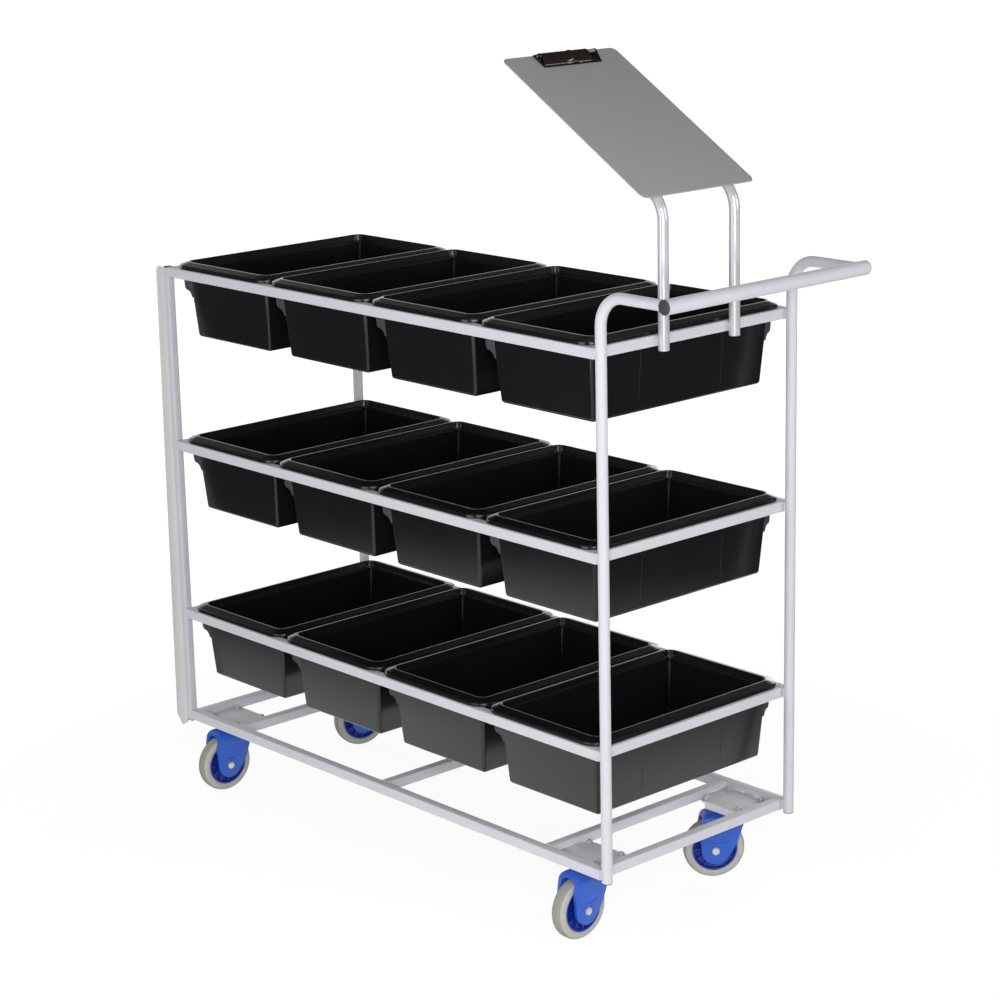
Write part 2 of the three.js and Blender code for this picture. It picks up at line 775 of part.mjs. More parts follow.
// The moulded fork: a swept side outline, rounded over at the shoulders and slotted for the wheel
function castorFork() {
  const side = new THREE.Shape();
  side.moveTo(-trailLength - forkEye, wheelRadius);
  side.absarc(-trailLength, wheelRadius, forkEye, Math.PI, Math.PI * (1 + forkEyeShare));
  side.quadraticCurveTo(forkThroatX, wheelRadius + forkChin, forkNeckX, forkTop - forkNeckDrop);
  side.lineTo(forkBrowX, forkTop - forkBrowRound);
  side.quadraticCurveTo(forkBrowX, forkTop, forkBrowX - forkBrowRound, forkTop);
  side.lineTo(-forkBackX, forkTop);
  side.quadraticCurveTo((-forkBackX - forkRumpX) / 2, forkTop, -forkRumpX, forkTop - forkRumpDrop);
  side.lineTo(-forkHeelX, forkTop - forkHeelDrop);
  side.closePath();
  const cheeks = new THREE.ExtrudeGeometry(side, {
    depth: 2 * forkHalf,
    bevelEnabled: false,
    curveSegments: castorCurveSteps,
  });
  cheeks.rotateX(Math.PI / 2);
  cheeks.translate(0, forkHalf, 0);
  const front = new THREE.Shape();
  front.moveTo(-forkHalf, 0);
  front.lineTo(forkHalf, 0);
  front.absarc(forkHalf - forkShoulder, forkTop - forkShoulder, forkShoulder, 0, Math.PI / 2);
  front.absarc(forkShoulder - forkHalf, forkTop - forkShoulder, forkShoulder, Math.PI / 2, Math.PI);
  front.closePath();
  const arch = new THREE.ExtrudeGeometry(front, {
    depth: 4 * wheelRadius,
    bevelEnabled: false,
    curveSegments: castorCurveSteps,
  });
  arch.rotateX(Math.PI / 2);
  arch.rotateZ(Math.PI / 2);
  arch.translate(-2 * wheelRadius, 0, 0);
  const slot = new THREE.BoxGeometry(4 * wheelRadius, 2 * forkSlot, crownHeight);
  slot.translate(0, 0, crownHeight / 2);
  const kingHole = zCylinder(kingRadius + raceGap, 0, forkTop + overrun, 0, 0, smallSides);
  const axleHole = yCylinder(axleRadius + seatGap, 4 * forkHalf, -trailLength, 0, wheelRadius, smallSides);
  return geometryOf(cut(solid(cheeks).intersect(solid(arch)), [slot, kingHole, axleHole]));
}

// The wheel hub: a dished web between a boss that turns on the axle and a rim under the tyre
function castorHub() {
  const bore = axleRadius + seatGap;
  const half = [
    [bore, hubHalf],
    [hubBoss, hubHalf],
    [hubBoss + hubDish / 3, hubDish],
    [hubRadius - hubDish, hubDish],
    [hubRadius, hubRim],
  ];
  return turnedRing(half, wheelSides);
}

// The tyre: a solid tread band with wide rounded shoulders
function castorTyre() {
  const inner = hubRadius + seatGap;
  const half = tyreWidth / 2;
  const share = Math.SQRT1_2;
  const shoulder = [
    [inner, half - tyreShoulder / 4],
    [wheelRadius - tyreShoulder, half],
    [wheelRadius - tyreShoulder * (1 - share), half - tyreShoulder * (1 - share)],
    [wheelRadius, half - tyreShoulder],
  ];
  return turnedRing(shoulder, wheelSides);
}

function castorAxle() {
  const reach = forkHalf + seatGap;
  const profile = [
    [0, -reach - axleHeadHeight],
    [axleHeadRadius, -reach - axleHeadHeight],
    [axleHeadRadius, -reach],
    [axleRadius, -reach],
    [axleRadius, reach],
    [axleHeadRadius, reach],
    [axleHeadRadius, reach + axleHeadHeight],
    [0, reach + axleHeadHeight],
  ].map(([radius, along]) => new THREE.Vector2(radius, along));
  return new THREE.LatheGeometry(profile, smallSides);
}

const restYaws = { handle_left: 90, handle_right: 53, far_left: 86, far_right: 73 };

corners.forEach(({ name, end, side }) => {
  const x = end === 0 ? -castorInsetX : castorInsetX - frameLength;
  const y = side * (halfWidth - castorInsetY);
  const yaw = THREE.MathUtils.degToRad(restYaws[name]);
  const pieces = [
    ["head", castorHead(), finish.zinc, false, false],
    ["fork", castorFork(), finish.fork, true, false],
    ["axle", castorAxle(), finish.zinc, true, true],
    ["hub", castorHub(), finish.hub, true, true],
    ["tyre", castorTyre(), finish.tyre, true, true],
  ];
  pieces.forEach(([piece, geometry, look, swivels, onAxle]) => {
    if (onAxle) geometry.translate(-trailLength, 0, wheelRadius);
    if (swivels) geometry.rotateZ(yaw);
    geometry.translate(x, y, 0);
    add(`castor_${name}_${piece}`, geometry, look);
  });
});

// The cart stands on the floor with the middle of its plan over the origin
const extent = new THREE.Box3().setFromObject(cart);
cart.position.set(-(extent.min.x + extent.max.x) / 2, -(extent.min.y + extent.max.y) / 2,
  -extent.min.z);

export default cart;
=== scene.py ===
import math

import bmesh
import bpy
from mathutils import Matrix, Vector


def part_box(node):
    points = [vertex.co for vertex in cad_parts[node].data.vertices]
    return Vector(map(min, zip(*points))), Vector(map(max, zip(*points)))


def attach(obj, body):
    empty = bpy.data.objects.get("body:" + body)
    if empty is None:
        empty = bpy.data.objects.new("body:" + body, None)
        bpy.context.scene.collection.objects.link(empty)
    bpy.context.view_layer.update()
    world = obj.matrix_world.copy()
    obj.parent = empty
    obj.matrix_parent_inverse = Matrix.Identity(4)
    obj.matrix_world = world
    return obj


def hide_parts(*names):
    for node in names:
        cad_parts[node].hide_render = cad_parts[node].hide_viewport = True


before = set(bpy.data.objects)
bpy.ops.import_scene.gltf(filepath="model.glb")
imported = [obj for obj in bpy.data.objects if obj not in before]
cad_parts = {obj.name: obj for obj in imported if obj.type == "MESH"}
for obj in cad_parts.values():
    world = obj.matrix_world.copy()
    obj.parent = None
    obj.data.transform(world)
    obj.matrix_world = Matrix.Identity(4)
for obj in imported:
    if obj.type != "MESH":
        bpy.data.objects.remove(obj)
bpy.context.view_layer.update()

# The base frame of the cart.
# Square steel tube, cut square, butted, welded and then powder coated in a very pale violet
# grey. Two long rails carry two end rails and three cross rails.
mm = 0.001
base_low, base_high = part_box("base_frame")
handle_end, far_end = base_high.x, base_low.x
centre_y = (base_low.y + base_high.y) / 2
half_width = (base_high.y - base_low.y) / 2
rail = base_high.z - base_low.z
castor_bay = 155 * mm
butt_in, bead_sunk = 1 * mm, 0.6 * mm
upright_bead, flat_bead = rail * 0.42, rail * 0.45


def linear(colour):
    """Linear colour with full alpha, from an sRGB hex value."""
    parts = [int(colour[k:k + 2], 16) / 255 for k in (1, 3, 5)]
    return [p / 12.92 if p <= 0.04045 else ((p + 0.055) / 1.055) ** 2.4 for p in parts] + [1]


def set_inputs(tree, node, inputs):
    """Links or sets the inputs of a shader node."""
    for name, value in inputs.items():
        if isinstance(value, bpy.types.NodeSocket):
            tree.links.new(value, node.inputs[name])
        else:
            node.inputs[name].default_value = value


def add_node(tree, kind, inputs=None, **settings):
    """Adds a shader node with its settings and inputs."""
    node = tree.nodes.new(kind)
    for name, value in settings.items():
        setattr(node, name, value)
    set_inputs(tree, node, inputs or {})
    return node


def start_finish(name):
    """A new material, with its tree, its shader and the object's own coordinates."""
    material = bpy.data.materials.new(name)
    material.use_nodes = True
    tree = material.node_tree
    place = add_node(tree, "ShaderNodeTexCoord").outputs["Object"]
    return material, tree, tree.nodes["Principled BSDF"], place


def shaded(colour, share):
    """Linear colour made lighter or darker by a share, from an sRGB hex value."""
    return [min(1, part * share) for part in linear(colour)[:3]] + [1]


def set_stops(ramp, colours, positions=(0, 1)):
    """Sets the two stops of a colour ramp."""
    for stop, colour, position in zip(ramp.color_ramp.elements, colours, positions):
        stop.color, stop.position = colour, position


def powder_coat(name, colour, roughness=0.42, metallic=0):
    # Polyester powder: baked on as dust, so it flows into a faint orange peel of about 2 mm
    # and keeps a soft satin gloss, with small changes of shade some 170 mm across.
    material, tree, shader, place = start_finish(name)
    cloud = add_node(tree, "ShaderNodeTexNoise", {"Vector": place, "Scale": 6, "Detail": 3})
    shade = add_node(tree, "ShaderNodeValToRGB", {"Fac": cloud.outputs["Fac"]})
    set_stops(shade, (shaded(colour, 0.985), shaded(colour, 1.015)), (0.35, 0.65))
    peel = add_node(tree, "ShaderNodeTexNoise", {"Vector": place, "Scale": 1 / (2 * mm), "Detail": 2})
    bump = add_node(tree, "ShaderNodeBump",
                    {"Height": peel.outputs["Fac"], "Strength": 0.08, "Distance": 0.3 * mm})
    gloss = add_node(tree, "ShaderNodeMapRange", {"Value": cloud.outputs["Fac"],
                     "To Min": roughness - 0.05, "To Max": roughness + 0.05})
    set_inputs(tree, shader, {"Base Color": shade.outputs["Color"], "Metallic": metallic,
                              "Roughness": gloss.outputs["Result"], "Normal": bump.outputs["Normal"]})
    return material


def make_piece(name, bm, *materials, sharp=35):
    """Turns a finished bmesh into a piece with smooth faces and sharp edges where it folds."""
    bmesh.ops.recalc_face_normals(bm, faces=bm.faces)
    mesh = bpy.data.meshes.new(name)
    bm.to_mesh(mesh)
    bm.free()
    piece = bpy.data.objects.new(name, mesh)
    bpy.context.scene.collection.objects.link(piece)
    for material in materials:
        mesh.materials.append(material)
    mesh.polygons.foreach_set("use_smooth", [True] * len(mesh.polygons))
    mesh.set_sharp_from_angle(angle=math.radians(sharp))
    return piece


def verts_of(geom):
    """The points among the parts that an operator gives back."""
    return [part for part in geom if isinstance(part, bmesh.types.BMVert)]


def edges_of(geom):
    """The edges among the parts that an operator gives back."""
    return [part for part in geom if isinstance(part, bmesh.types.BMEdge)]


def edges_at(verts):
    """Every edge that ends at one of some points."""
    return list({edge for vert in verts for edge in vert.link_edges})


def facing(direction):
    """The turn that lays a piece drawn up the Z axis along a direction."""
    return Vector(direction).to_track_quat("Z", "Y").to_matrix().to_4x4()


def bevel_edges(bm, edges, width, segments):
    """Rounds edges, and gives back the points of the new faces."""
    made = bmesh.ops.bevel(bm, geom=edges, offset=width, affect="EDGES", segments=segments,
                           profile=0.5, material=-1)
    return {vert for face in made["faces"] for vert in face.verts}


def add_square_bar(bm, start, end, size, radius=2.5 * mm):
    """A square tube between two points, with rolled corners and closed ends."""
    start, end = Vector(start), Vector(end)
    along = end - start
    made = bmesh.ops.create_cube(bm, size=1)["verts"]
    bmesh.ops.scale(bm, vec=(size, size, along.length), verts=made)
    long_edges = [e for e in edges_at(made)
                  if abs((e.verts[0].co - e.verts[1].co).normalized().z) > 0.9]
    verts = bevel_edges(bm, long_edges, radius, 4) | {v for v in made if v.is_valid}
    place = Matrix.Translation((start + end) / 2) @ facing(along)
    bmesh.ops.transform(bm, matrix=place, verts=list(verts))


def push_ring(bm, edges, vec):
    """Extrudes a ring of edges along a vector, and gives back its new edges and points."""
    grown = bmesh.ops.extrude_edge_only(bm, edges=edges)["geom"]
    bmesh.ops.translate(bm, vec=vec, verts=verts_of(grown))
    return edges_of(grown), verts_of(grown)


def add_weld(bm, start, end, width=2.2 * mm):
    """A bead of weld metal laid along a joint, with the small ripples that the puddle leaves."""
    start, end = Vector(start), Vector(end)
    along = end - start
    ripple = 1.5 * mm
    steps = max(4, round(along.length / ripple))
    ring = bmesh.ops.create_circle(bm, cap_ends=True, radius=width * 0.6, segments=8)["verts"]
    bmesh.ops.transform(bm, matrix=Matrix.Translation(start) @ facing(along), verts=ring)
    edges = edges_at(ring)
    for k in range(1, steps + 1):
        edges, ring = push_ring(bm, edges, along / steps)
        swell = 0.5 if k == steps else 1.35 if k % 2 else 0.8
        bmesh.ops.scale(bm, vec=(swell,) * 3, verts=ring,
                        space=Matrix.Translation(-(start + along * k / steps)))
    bmesh.ops.holes_fill(bm, edges=edges)


def add_frame(bm, top, cross_rails):
    """Two long rails with cross rails butted between them and a bead round each butt joint."""
    level = top - rail / 2
    line = half_width - rail / 2
    reach = half_width - rail + butt_in
    for side in (-1, 1):
        add_square_bar(bm, (far_end, centre_y + side * line, level),
                       (handle_end, centre_y + side * line, level), rail)
    for x in cross_rails:
        add_square_bar(bm, (x, centre_y - reach, level), (x, centre_y + reach, level), rail)
        for side in (-1, 1):
            y = centre_y + side * (half_width - rail)
            for edge in (-1, 1):
                wall = x + edge * rail / 2
                if far_end + rail < wall < handle_end - rail / 4:
                    add_weld(bm, (wall, y, level - upright_bead), (wall, y, level + upright_bead))
                face = level + edge * (rail / 2 - bead_sunk)
                add_weld(bm, (x - flat_bead, y, face), (x + flat_bead, y, face), 1.6 * mm)


frame_coat = powder_coat("polyester powder coat, pale grey", "#D2D1D8")
end_rails = [handle_end - rail / 2, far_end + rail / 2]
inner_cross = rail + castor_bay + rail / 2
bm = bmesh.new()
add_frame(bm, base_high.z, end_rails + [handle_end - inner_cross, (handle_end + far_end) / 2,
                                        far_end + inner_cross])
base = make_piece("base_frame_welded", bm, frame_coat)
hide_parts("base_frame")
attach(base, "cart_frame")

# The three tier frames.
# The same square tube as the base, as open rectangles. The tubs hang in them by their rims,
# so nothing crosses the middle.
tier_tops = {k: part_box(f"tier_frame_{k}")[1].z for k in (1, 2, 3)}
frame_tops = [base_high.z, *tier_tops.values()]
for k, top in tier_tops.items():
    bm = bmesh.new()
    add_frame(bm, top, end_rails)
    tier = make_piece(f"tier_frame_{k}_welded", bm, frame_coat)
    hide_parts(f"tier_frame_{k}")
    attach(tier, "cart_frame")

# The handle posts and the push bar.
# Round steel tube, bent cold over a former so that the bend stays round, with its end coped
# to fit round the fatter cross bar and welded there all the way round.
sides = ((-1, "left"), (1, "right"))
seat_gap = 0.3 * mm
post_radius, post_bend = 12.7 * mm, 68 * mm
post_line = handle_end + post_radius + seat_gap
post_seam = post_radius + 0.6 * mm
seam_beads = 40
end_bead_x, end_bead_apart = handle_end + 1.2 * mm, 6.5 * mm
bar_radius, bar_wall = 16.85 * mm, 2.6 * mm
bar_low, bar_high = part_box("handle_bar")
bar_x, bar_z = (bar_low.x + bar_high.x) / 2, (bar_low.z + bar_high.z) / 2


def add_tube(bm, radius, start, end, segments=40):
    """A straight round tube between two points, open at both ends."""
    start, end = Vector(start), Vector(end)
    along = end - start
    verts = bmesh.ops.create_cone(bm, cap_ends=False, segments=segments, radius1=radius,
                                  radius2=radius, depth=along.length)["verts"]
    place = Matrix.Translation((start + end) / 2) @ facing(along)
    bmesh.ops.transform(bm, matrix=place, verts=verts)
    return verts


def open_ring(verts, point, direction):
    """The open edges of a tube that lie in the plane through a point."""
    edges = {e for v in verts if v.is_valid for e in v.link_edges if e.is_boundary}
    return [e for e in edges
            if all(abs((v.co - Vector(point)).dot(Vector(direction))) < 1e-5 for v in e.verts)]


def add_bent_tube(bm, radius, foot, bend_z, bend_radius, turn, reach):
    """A tube that stands up, is bent through an angle about the cross axis and runs on. It gives
    back the points of its far end."""
    foot = Vector(foot)
    knee = Vector((foot.x, foot.y, bend_z))
    hand = 1 if turn > 0 else -1
    ring = open_ring(add_tube(bm, radius, foot, knee), knee, (0, 0, 1))
    spun = bmesh.ops.spin(bm, geom=ring, cent=knee - Vector((hand * bend_radius, 0, 0)),
                          axis=(0, -1, 0), angle=turn, steps=16, use_merge=False)["geom_last"]
    ahead = Vector((-math.sin(turn), 0, math.cos(turn))) * reach
    return push_ring(bm, edges_of(spun), ahead)[1]


def join_points(bm, apart=1e-6):
    """Makes one of the points that lie on one spot."""
    bmesh.ops.remove_doubles(bm, verts=bm.verts, dist=apart)


def close_ends(bm):
    """Joins the points that meet and fills the open ends."""
    join_points(bm)
    bmesh.ops.holes_fill(bm, edges=[e for e in bm.edges if e.is_boundary])


def add_post_welds(bm, x, y, apart, tops):
    """Two upright beads on the end of every frame that a post stands against."""
    for top in tops:
        for side in (-1, 1):
            line = (x, y + side * apart)
            add_weld(bm, (*line, top - rail + 1 * mm), (*line, top - 1 * mm), 3 * mm)


for side, label in sides:
    y = centre_y + side * (half_width - rail / 2)
    foot_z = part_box(f"handle_post_{label}")[0].z
    bm = bmesh.new()
    mouth = add_bent_tube(bm, post_radius, (post_line, y, foot_z), bar_z - post_bend, post_bend,
                          -math.pi / 2, bar_x - post_line - post_bend - bar_radius * 0.8)
    for vert in mouth:
        across = vert.co.z - bar_z
        vert.co.x = bar_x - math.sqrt(bar_radius ** 2 - across ** 2) + 0.2 * mm
    close_ends(bm)
    add_post_welds(bm, end_bead_x, y, end_bead_apart, frame_tops)
    ring = [Vector((bar_x - math.sqrt(bar_radius ** 2 - (post_radius * math.sin(a)) ** 2),
                    y + post_seam * math.cos(a), bar_z + post_seam * math.sin(a)))
            for a in (2 * math.pi * k / seam_beads for k in range(seam_beads))]
    for here, there in zip(ring, ring[1:] + ring[:1]):
        add_weld(bm, here, there, 2 * mm)
    post = make_piece(f"handle_post_{label}_bent", bm, frame_coat)
    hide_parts(f"handle_post_{label}")
    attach(post, "cart_frame")

bm = bmesh.new()
bar_ends = [(bar_x, y, bar_z) for y in (bar_low.y, bar_high.y)]
walls = add_tube(bm, bar_radius, *bar_ends, 48) + add_tube(bm, bar_radius - bar_wall, *bar_ends, 48)
for end in bar_ends:
    bmesh.ops.bridge_loops(bm, edges=open_ring(walls, end, (0, 1, 0)))
push_bar = make_piece("push_bar", bm, frame_coat)
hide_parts("handle_bar")
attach(push_bar, "cart_frame")

# The end caps of the push bar.
# Dark grey moulded plastic inserts with a slightly domed face, pushed into the open bar.
cap_rim, cap_spigot = 2.2 * mm, bar_radius - 3 * mm


def moulded_plastic(name, colour, roughness, grain=0.6 * mm, depth=0.06):
    # Injection moulded plastic: a fine spark-eroded grain from the mould breaks up the gloss,
    # and a haze of some 70 mm changes it a little.
    material, tree, shader, place = start_finish(name)
    texture = add_node(tree, "ShaderNodeTexNoise", {"Vector": place, "Scale": 1 / grain, "Detail": 3})
    haze = add_node(tree, "ShaderNodeTexNoise", {"Vector": place, "Scale": 14, "Detail": 2})
    gloss = add_node(tree, "ShaderNodeMapRange", {"Value": haze.outputs["Fac"],
                     "To Min": roughness - 0.06, "To Max": roughness + 0.06})
    bump = add_node(tree, "ShaderNodeBump",
                    {"Height": texture.outputs["Fac"], "Strength": depth, "Distance": grain / 4})
    set_inputs(tree, shader, {"Base Color": linear(colour), "Roughness": gloss.outputs["Result"],
                              "Normal": bump.outputs["Normal"]})
    return material


def add_turned(bm, profile, axis_point, axis, outward, steps=48):
    """Spins a section, given as radius and distance along the axis, into a closed round piece."""
    axis_point, axis, outward = Vector(axis_point), Vector(axis), Vector(outward)
    line = [bm.verts.new(axis_point + outward * radius + axis * along) for radius, along in profile]
    edges = [bm.edges.new(pair) for pair in zip(line, line[1:])]
    if profile[0][0] > 0:
        edges.append(bm.edges.new((line[-1], line[0])))
    bmesh.ops.spin(bm, geom=line + edges, cent=axis_point, axis=axis, angle=2 * math.pi, steps=steps,
                   use_merge=True)


cap_plastic = moulded_plastic("moulded polyethylene, charcoal", "#3A3A3F", 0.45)
for side, label in sides:
    low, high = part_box(f"handle_cap_{label}")
    outer_face, inner_face = (high.y, low.y) if side > 0 else (low.y, high.y)
    rim = outer_face - side * cap_rim
    profile = [(0, outer_face), (bar_radius * 0.6, outer_face - side * 0.1 * mm),
               (bar_radius * 0.86, outer_face - side * 0.5 * mm),
               (bar_radius - 0.3 * mm, outer_face - side * 1.3 * mm), (bar_radius, rim),
               (cap_spigot, rim), (cap_spigot, inner_face), (0, inner_face)]
    bm = bmesh.new()
    add_turned(bm, profile, (bar_x, 0, bar_z), (0, 1, 0), (1, 0, 0), 40)
    join_points(bm)
    cap = make_piece(f"push_bar_cap_{label}", bm, cap_plastic, sharp=50)
    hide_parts(f"handle_cap_{label}")
    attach(cap, "cart_frame")

# The plugs in the feet of the handle posts.
# Black plastic with a thin flange under the tube and a plain spigot inside it.
foot_plastic = moulded_plastic("moulded polyethylene, black", "#1A1A1C", 0.5)
plug_flange, plug_spigot = 2 * mm, post_radius - 2.2 * mm
for _, label in sides:
    low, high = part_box(f"post_plug_{label}")
    flange_top = low.z + plug_flange
    profile = [(0, low.z), (post_radius * 0.7, low.z + 0.1 * mm),
               (post_radius - 0.4 * mm, low.z + 0.6 * mm), (post_radius, flange_top),
               (plug_spigot, flange_top), (plug_spigot, high.z), (0, high.z)]
    bm = bmesh.new()
    add_turned(bm, profile, (post_line, (low.y + high.y) / 2, 0), (0, 0, 1), (1, 0, 0), 32)
    join_points(bm)
    plug = make_piece(f"post_foot_plug_{label}", bm, foot_plastic, sharp=50)
    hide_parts(f"post_plug_{label}")
    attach(plug, "cart_frame")

# The far posts with their caps.
# Lighter 20 mm square tube, welded up the end of all four frames and closed at both ends
# with square plastic caps that stand a little proud.
far_wall, far_spigot = 2.2 * mm, 10 * mm


def add_block(bm, size, centre):
    """A square block about a point."""
    made = bmesh.ops.create_cube(bm, size=1)["verts"]
    bmesh.ops.scale(bm, vec=size, verts=made)
    bmesh.ops.translate(bm, vec=centre, verts=made)
    return made


for _, label in sides:
    low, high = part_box(f"far_post_{label}")
    size = high.x - low.x
    x, y = (low.x + high.x) / 2, (low.y + high.y) / 2
    bm = bmesh.new()
    add_square_bar(bm, (x, y, low.z), (x, y, high.z), size, 2 * mm)
    add_post_welds(bm, far_end - 0.4 * mm, y, size / 2 - 0.6 * mm, frame_tops)
    post = make_piece(f"far_post_{label}_tube", bm, frame_coat)
    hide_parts(f"far_post_{label}")
    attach(post, "cart_frame")
    for node, above in ((f"far_post_cap_{label}", 1), (f"far_post_foot_{label}", -1)):
        tip_low, tip_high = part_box(node)
        tube_end, tip = (high.z, tip_high.z) if above > 0 else (low.z, tip_low.z)
        bm = bmesh.new()
        for reach, start, end in ((size, tube_end + above * seat_gap, tip),
                                  (size - 2 * far_wall, tube_end - above * far_spigot,
                                   tube_end + above * mm)):
            add_block(bm, (reach, reach, abs(end - start)), (x, y, (start + end) / 2))
        bevel_edges(bm, bm.edges[:], 0.7 * mm, 3)
        cap = make_piece(node + "_moulded", bm, foot_plastic, sharp=50)
        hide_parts(node)
        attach(cap, "cart_frame")

# The guard strip on the left far post.
# A flat steel bar on edge, wider towards the floor, cut to a point at both ends and held on
# the post by a row of short beads.
guard_beads, guard_bead, guard_foot_clear, guard_clear = 7, 30 * mm, 60 * mm, 100 * mm


def add_prism(bm, outline, place, sweep):
    """Fills a flat outline, put in place by a function, sweeps it into a solid, and gives back
    all its points."""
    start = [bm.verts.new(place(*point)) for point in outline]
    swept = verts_of(bmesh.ops.extrude_face_region(bm, geom=[bm.faces.new(start)])["geom"])
    bmesh.ops.translate(bm, vec=sweep, verts=swept)
    bmesh.ops.recalc_face_normals(bm, faces=bm.faces)
    return start + swept


low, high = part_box("guard_strip")
post_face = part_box("far_post_left")[0].x
outline = [(high.x, high.z - 6 * mm), (high.x - 16 * mm, high.z), (high.x - 32 * mm, high.z - 6 * mm),
           (low.x, low.z + 28 * mm), ((low.x + high.x) / 2, low.z), (high.x, low.z + 14 * mm)]
bm = bmesh.new()
add_prism(bm, outline, lambda x, z: (x, low.y, z), (0, high.y - low.y, 0))
bevel_edges(bm, bm.edges[:], 0.5 * mm, 2)
for k in range(guard_beads):
    z = low.z + guard_foot_clear + k * (high.z - low.z - guard_clear) / guard_beads
    seam = (post_face, low.y + 3.4 * mm)
    add_weld(bm, (*seam, z), (*seam, z + guard_bead), 2 * mm)
guard = make_piece("guard_strip_bar", bm, powder_coat("polyester powder coat, warm grey", "#DAD8D9"))
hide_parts("guard_strip")
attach(guard, "cart_frame")

# The castor mounting plates.
# Folded sheet steel welded in a little below the rail tops at each corner of the base, with the
# inner edge turned down for stiffness and one corner of it snipped off before folding.
# A lighter copy of the frame's powder coat: painted light that makes up for the shade the plates sit in.
lightened_plate_coat = powder_coat("polyester powder coat, plates, painted lighter", "#DDDCE2", 0.48)
plate_sheet, plate_snip = 3 * mm, 30 * mm
wall_bead, fold_bead, end_bead = (8 * mm, 40 * mm), (40 * mm, 70 * mm), (20 * mm, 60 * mm)
corner_ways = {"handle_left": (1, -1), "handle_right": (1, 1), "far_left": (-1, -1),
               "far_right": (-1, 1)}
for corner, (ahead, side) in corner_ways.items():
    low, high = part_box(f"castor_plate_{corner}")
    back, front = (low.x, high.x) if ahead > 0 else (high.x, low.x)
    wall, fold = (high.y, low.y) if side > 0 else (low.y, high.y)
    outline = [(front, wall), (back, wall), (back, fold + side * plate_snip),
               (back + ahead * plate_snip, fold), (front, fold)]
    bm = bmesh.new()
    add_prism(bm, outline, lambda x, y: (x, y, high.z), (0, 0, -plate_sheet))
    add_block(bm, (abs(front - back) - plate_snip, plate_sheet, high.z - low.z - 1 * mm),
              ((front + back + ahead * plate_snip) / 2, fold + side * plate_sheet / 2,
               (high.z + low.z) / 2 - 0.5 * mm))
    bevel_edges(bm, [e for e in bm.edges if e.calc_length() > 20 * mm], 0.8 * mm, 3)
    seams = []
    for x, inward in ((front, -ahead), (back, ahead)):
        seams.append([(x, wall - side * along) for along in wall_bead])
        seams.append([(x, fold + side * along) for along in fold_bead])
        seams.append([(x + inward * along, wall) for along in end_bead])
    for start, end in seams:
        add_weld(bm, (*start, high.z), (*end, high.z), 2.4 * mm)
    plate = make_piece(f"castor_plate_{corner}_folded", bm, lightened_plate_coat)
    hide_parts(f"castor_plate_{corner}")
    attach(plate, "cart_frame")

# The tubs.
# Black polypropylene, injection moulded with thin drafted walls. The rim curls over and down
# to the rails and is hollow underneath, a small step inside lets empty tubs nest, and thin
# webs under some rim corners keep nested tubs apart.
tub_curl, tub_floor, tub_draft = 28 * mm, 181 * mm, 0.075
tub_wall_x, tub_wall_y = 192.5 * mm - tub_curl, 314 * mm - tub_curl
tub_skin, tub_base = 3.5 * mm, 3.3 * mm
rim_corner, wall_corner, corner_fade = 20 * mm, 9 * mm, 16 * mm
web_sheet, web_end, web_root = 5.6 * mm, 78 * mm, -11 * mm
far_web, handle_web = 21.5 * mm, 8.4 * mm
ridge_length, ridge_top, ridge_place = 140 * mm, 14 * mm, 132 * mm
plastic_ior = 1.49


def black_polypropylene():
    # Polypropylene with carbon black from a polished mould: nearly black, with narrow highlights
    # on the rims and corners and very faint flow marks of about 110 mm on the walls.
    material, tree, shader, place = start_finish("moulded polypropylene, black")
    grain = add_node(tree, "ShaderNodeTexNoise", {"Vector": place, "Scale": 1 / (1.2 * mm), "Detail": 4})
    flow = add_node(tree, "ShaderNodeTexNoise", {"Vector": place, "Scale": 9, "Detail": 3})
    gloss = add_node(tree, "ShaderNodeMapRange", {"Value": flow.outputs["Fac"], "From Min": 0.3,
                     "From Max": 0.7, "To Min": 0.19, "To Max": 0.24})
    wave = add_node(tree, "ShaderNodeBump",
                    {"Height": flow.outputs["Fac"], "Strength": 0.1, "Distance": 1 * mm})
    fine = add_node(tree, "ShaderNodeBump", {"Height": grain.outputs["Fac"], "Strength": 0.12,
                    "Distance": 0.2 * mm, "Normal": wave.outputs["Normal"]})
    set_inputs(tree, shader, {"Base Color": linear("#141416"), "IOR": plastic_ior,
                              "Roughness": gloss.outputs["Result"], "Normal": fine.outputs["Normal"]})
    return material


def eroded_polypropylene():
    # The same plastic where slides of the mould were left spark-eroded: a coarse pitted grain
    # of about 3 mm scatters the light, so these faces look grey beside the polished walls.
    material, tree, shader, place = start_finish("moulded polypropylene, spark-eroded")
    pits = add_node(tree, "ShaderNodeTexNoise", {"Vector": place, "Scale": 1 / (3 * mm), "Detail": 5})
    tone = add_node(tree, "ShaderNodeValToRGB", {"Fac": pits.outputs["Fac"]})
    set_stops(tone, (linear("#262628"), linear("#535358")), (0.35, 0.7))
    bump = add_node(tree, "ShaderNodeBump",
                    {"Height": pits.outputs["Fac"], "Strength": 0.5, "Distance": 0.6 * mm})
    set_inputs(tree, shader, {"Base Color": tone.outputs["Color"], "Roughness": 0.6,
                              "IOR": plastic_ior, "Normal": bump.outputs["Normal"]})
    return material


def add_rounded_face(bm, half_x, half_y, corner, segments):
    """A level rectangle about the origin with rounded corners, alone in its mesh."""
    made = bmesh.ops.create_grid(bm, x_segments=1, y_segments=1, size=1)["verts"]
    bmesh.ops.scale(bm, vec=(half_x, half_y, 1), verts=made)
    bmesh.ops.bevel(bm, geom=bm.verts[:], offset=corner, offset_type="OFFSET", affect="VERTICES",
                    segments=segments, profile=0.5, material=-1)


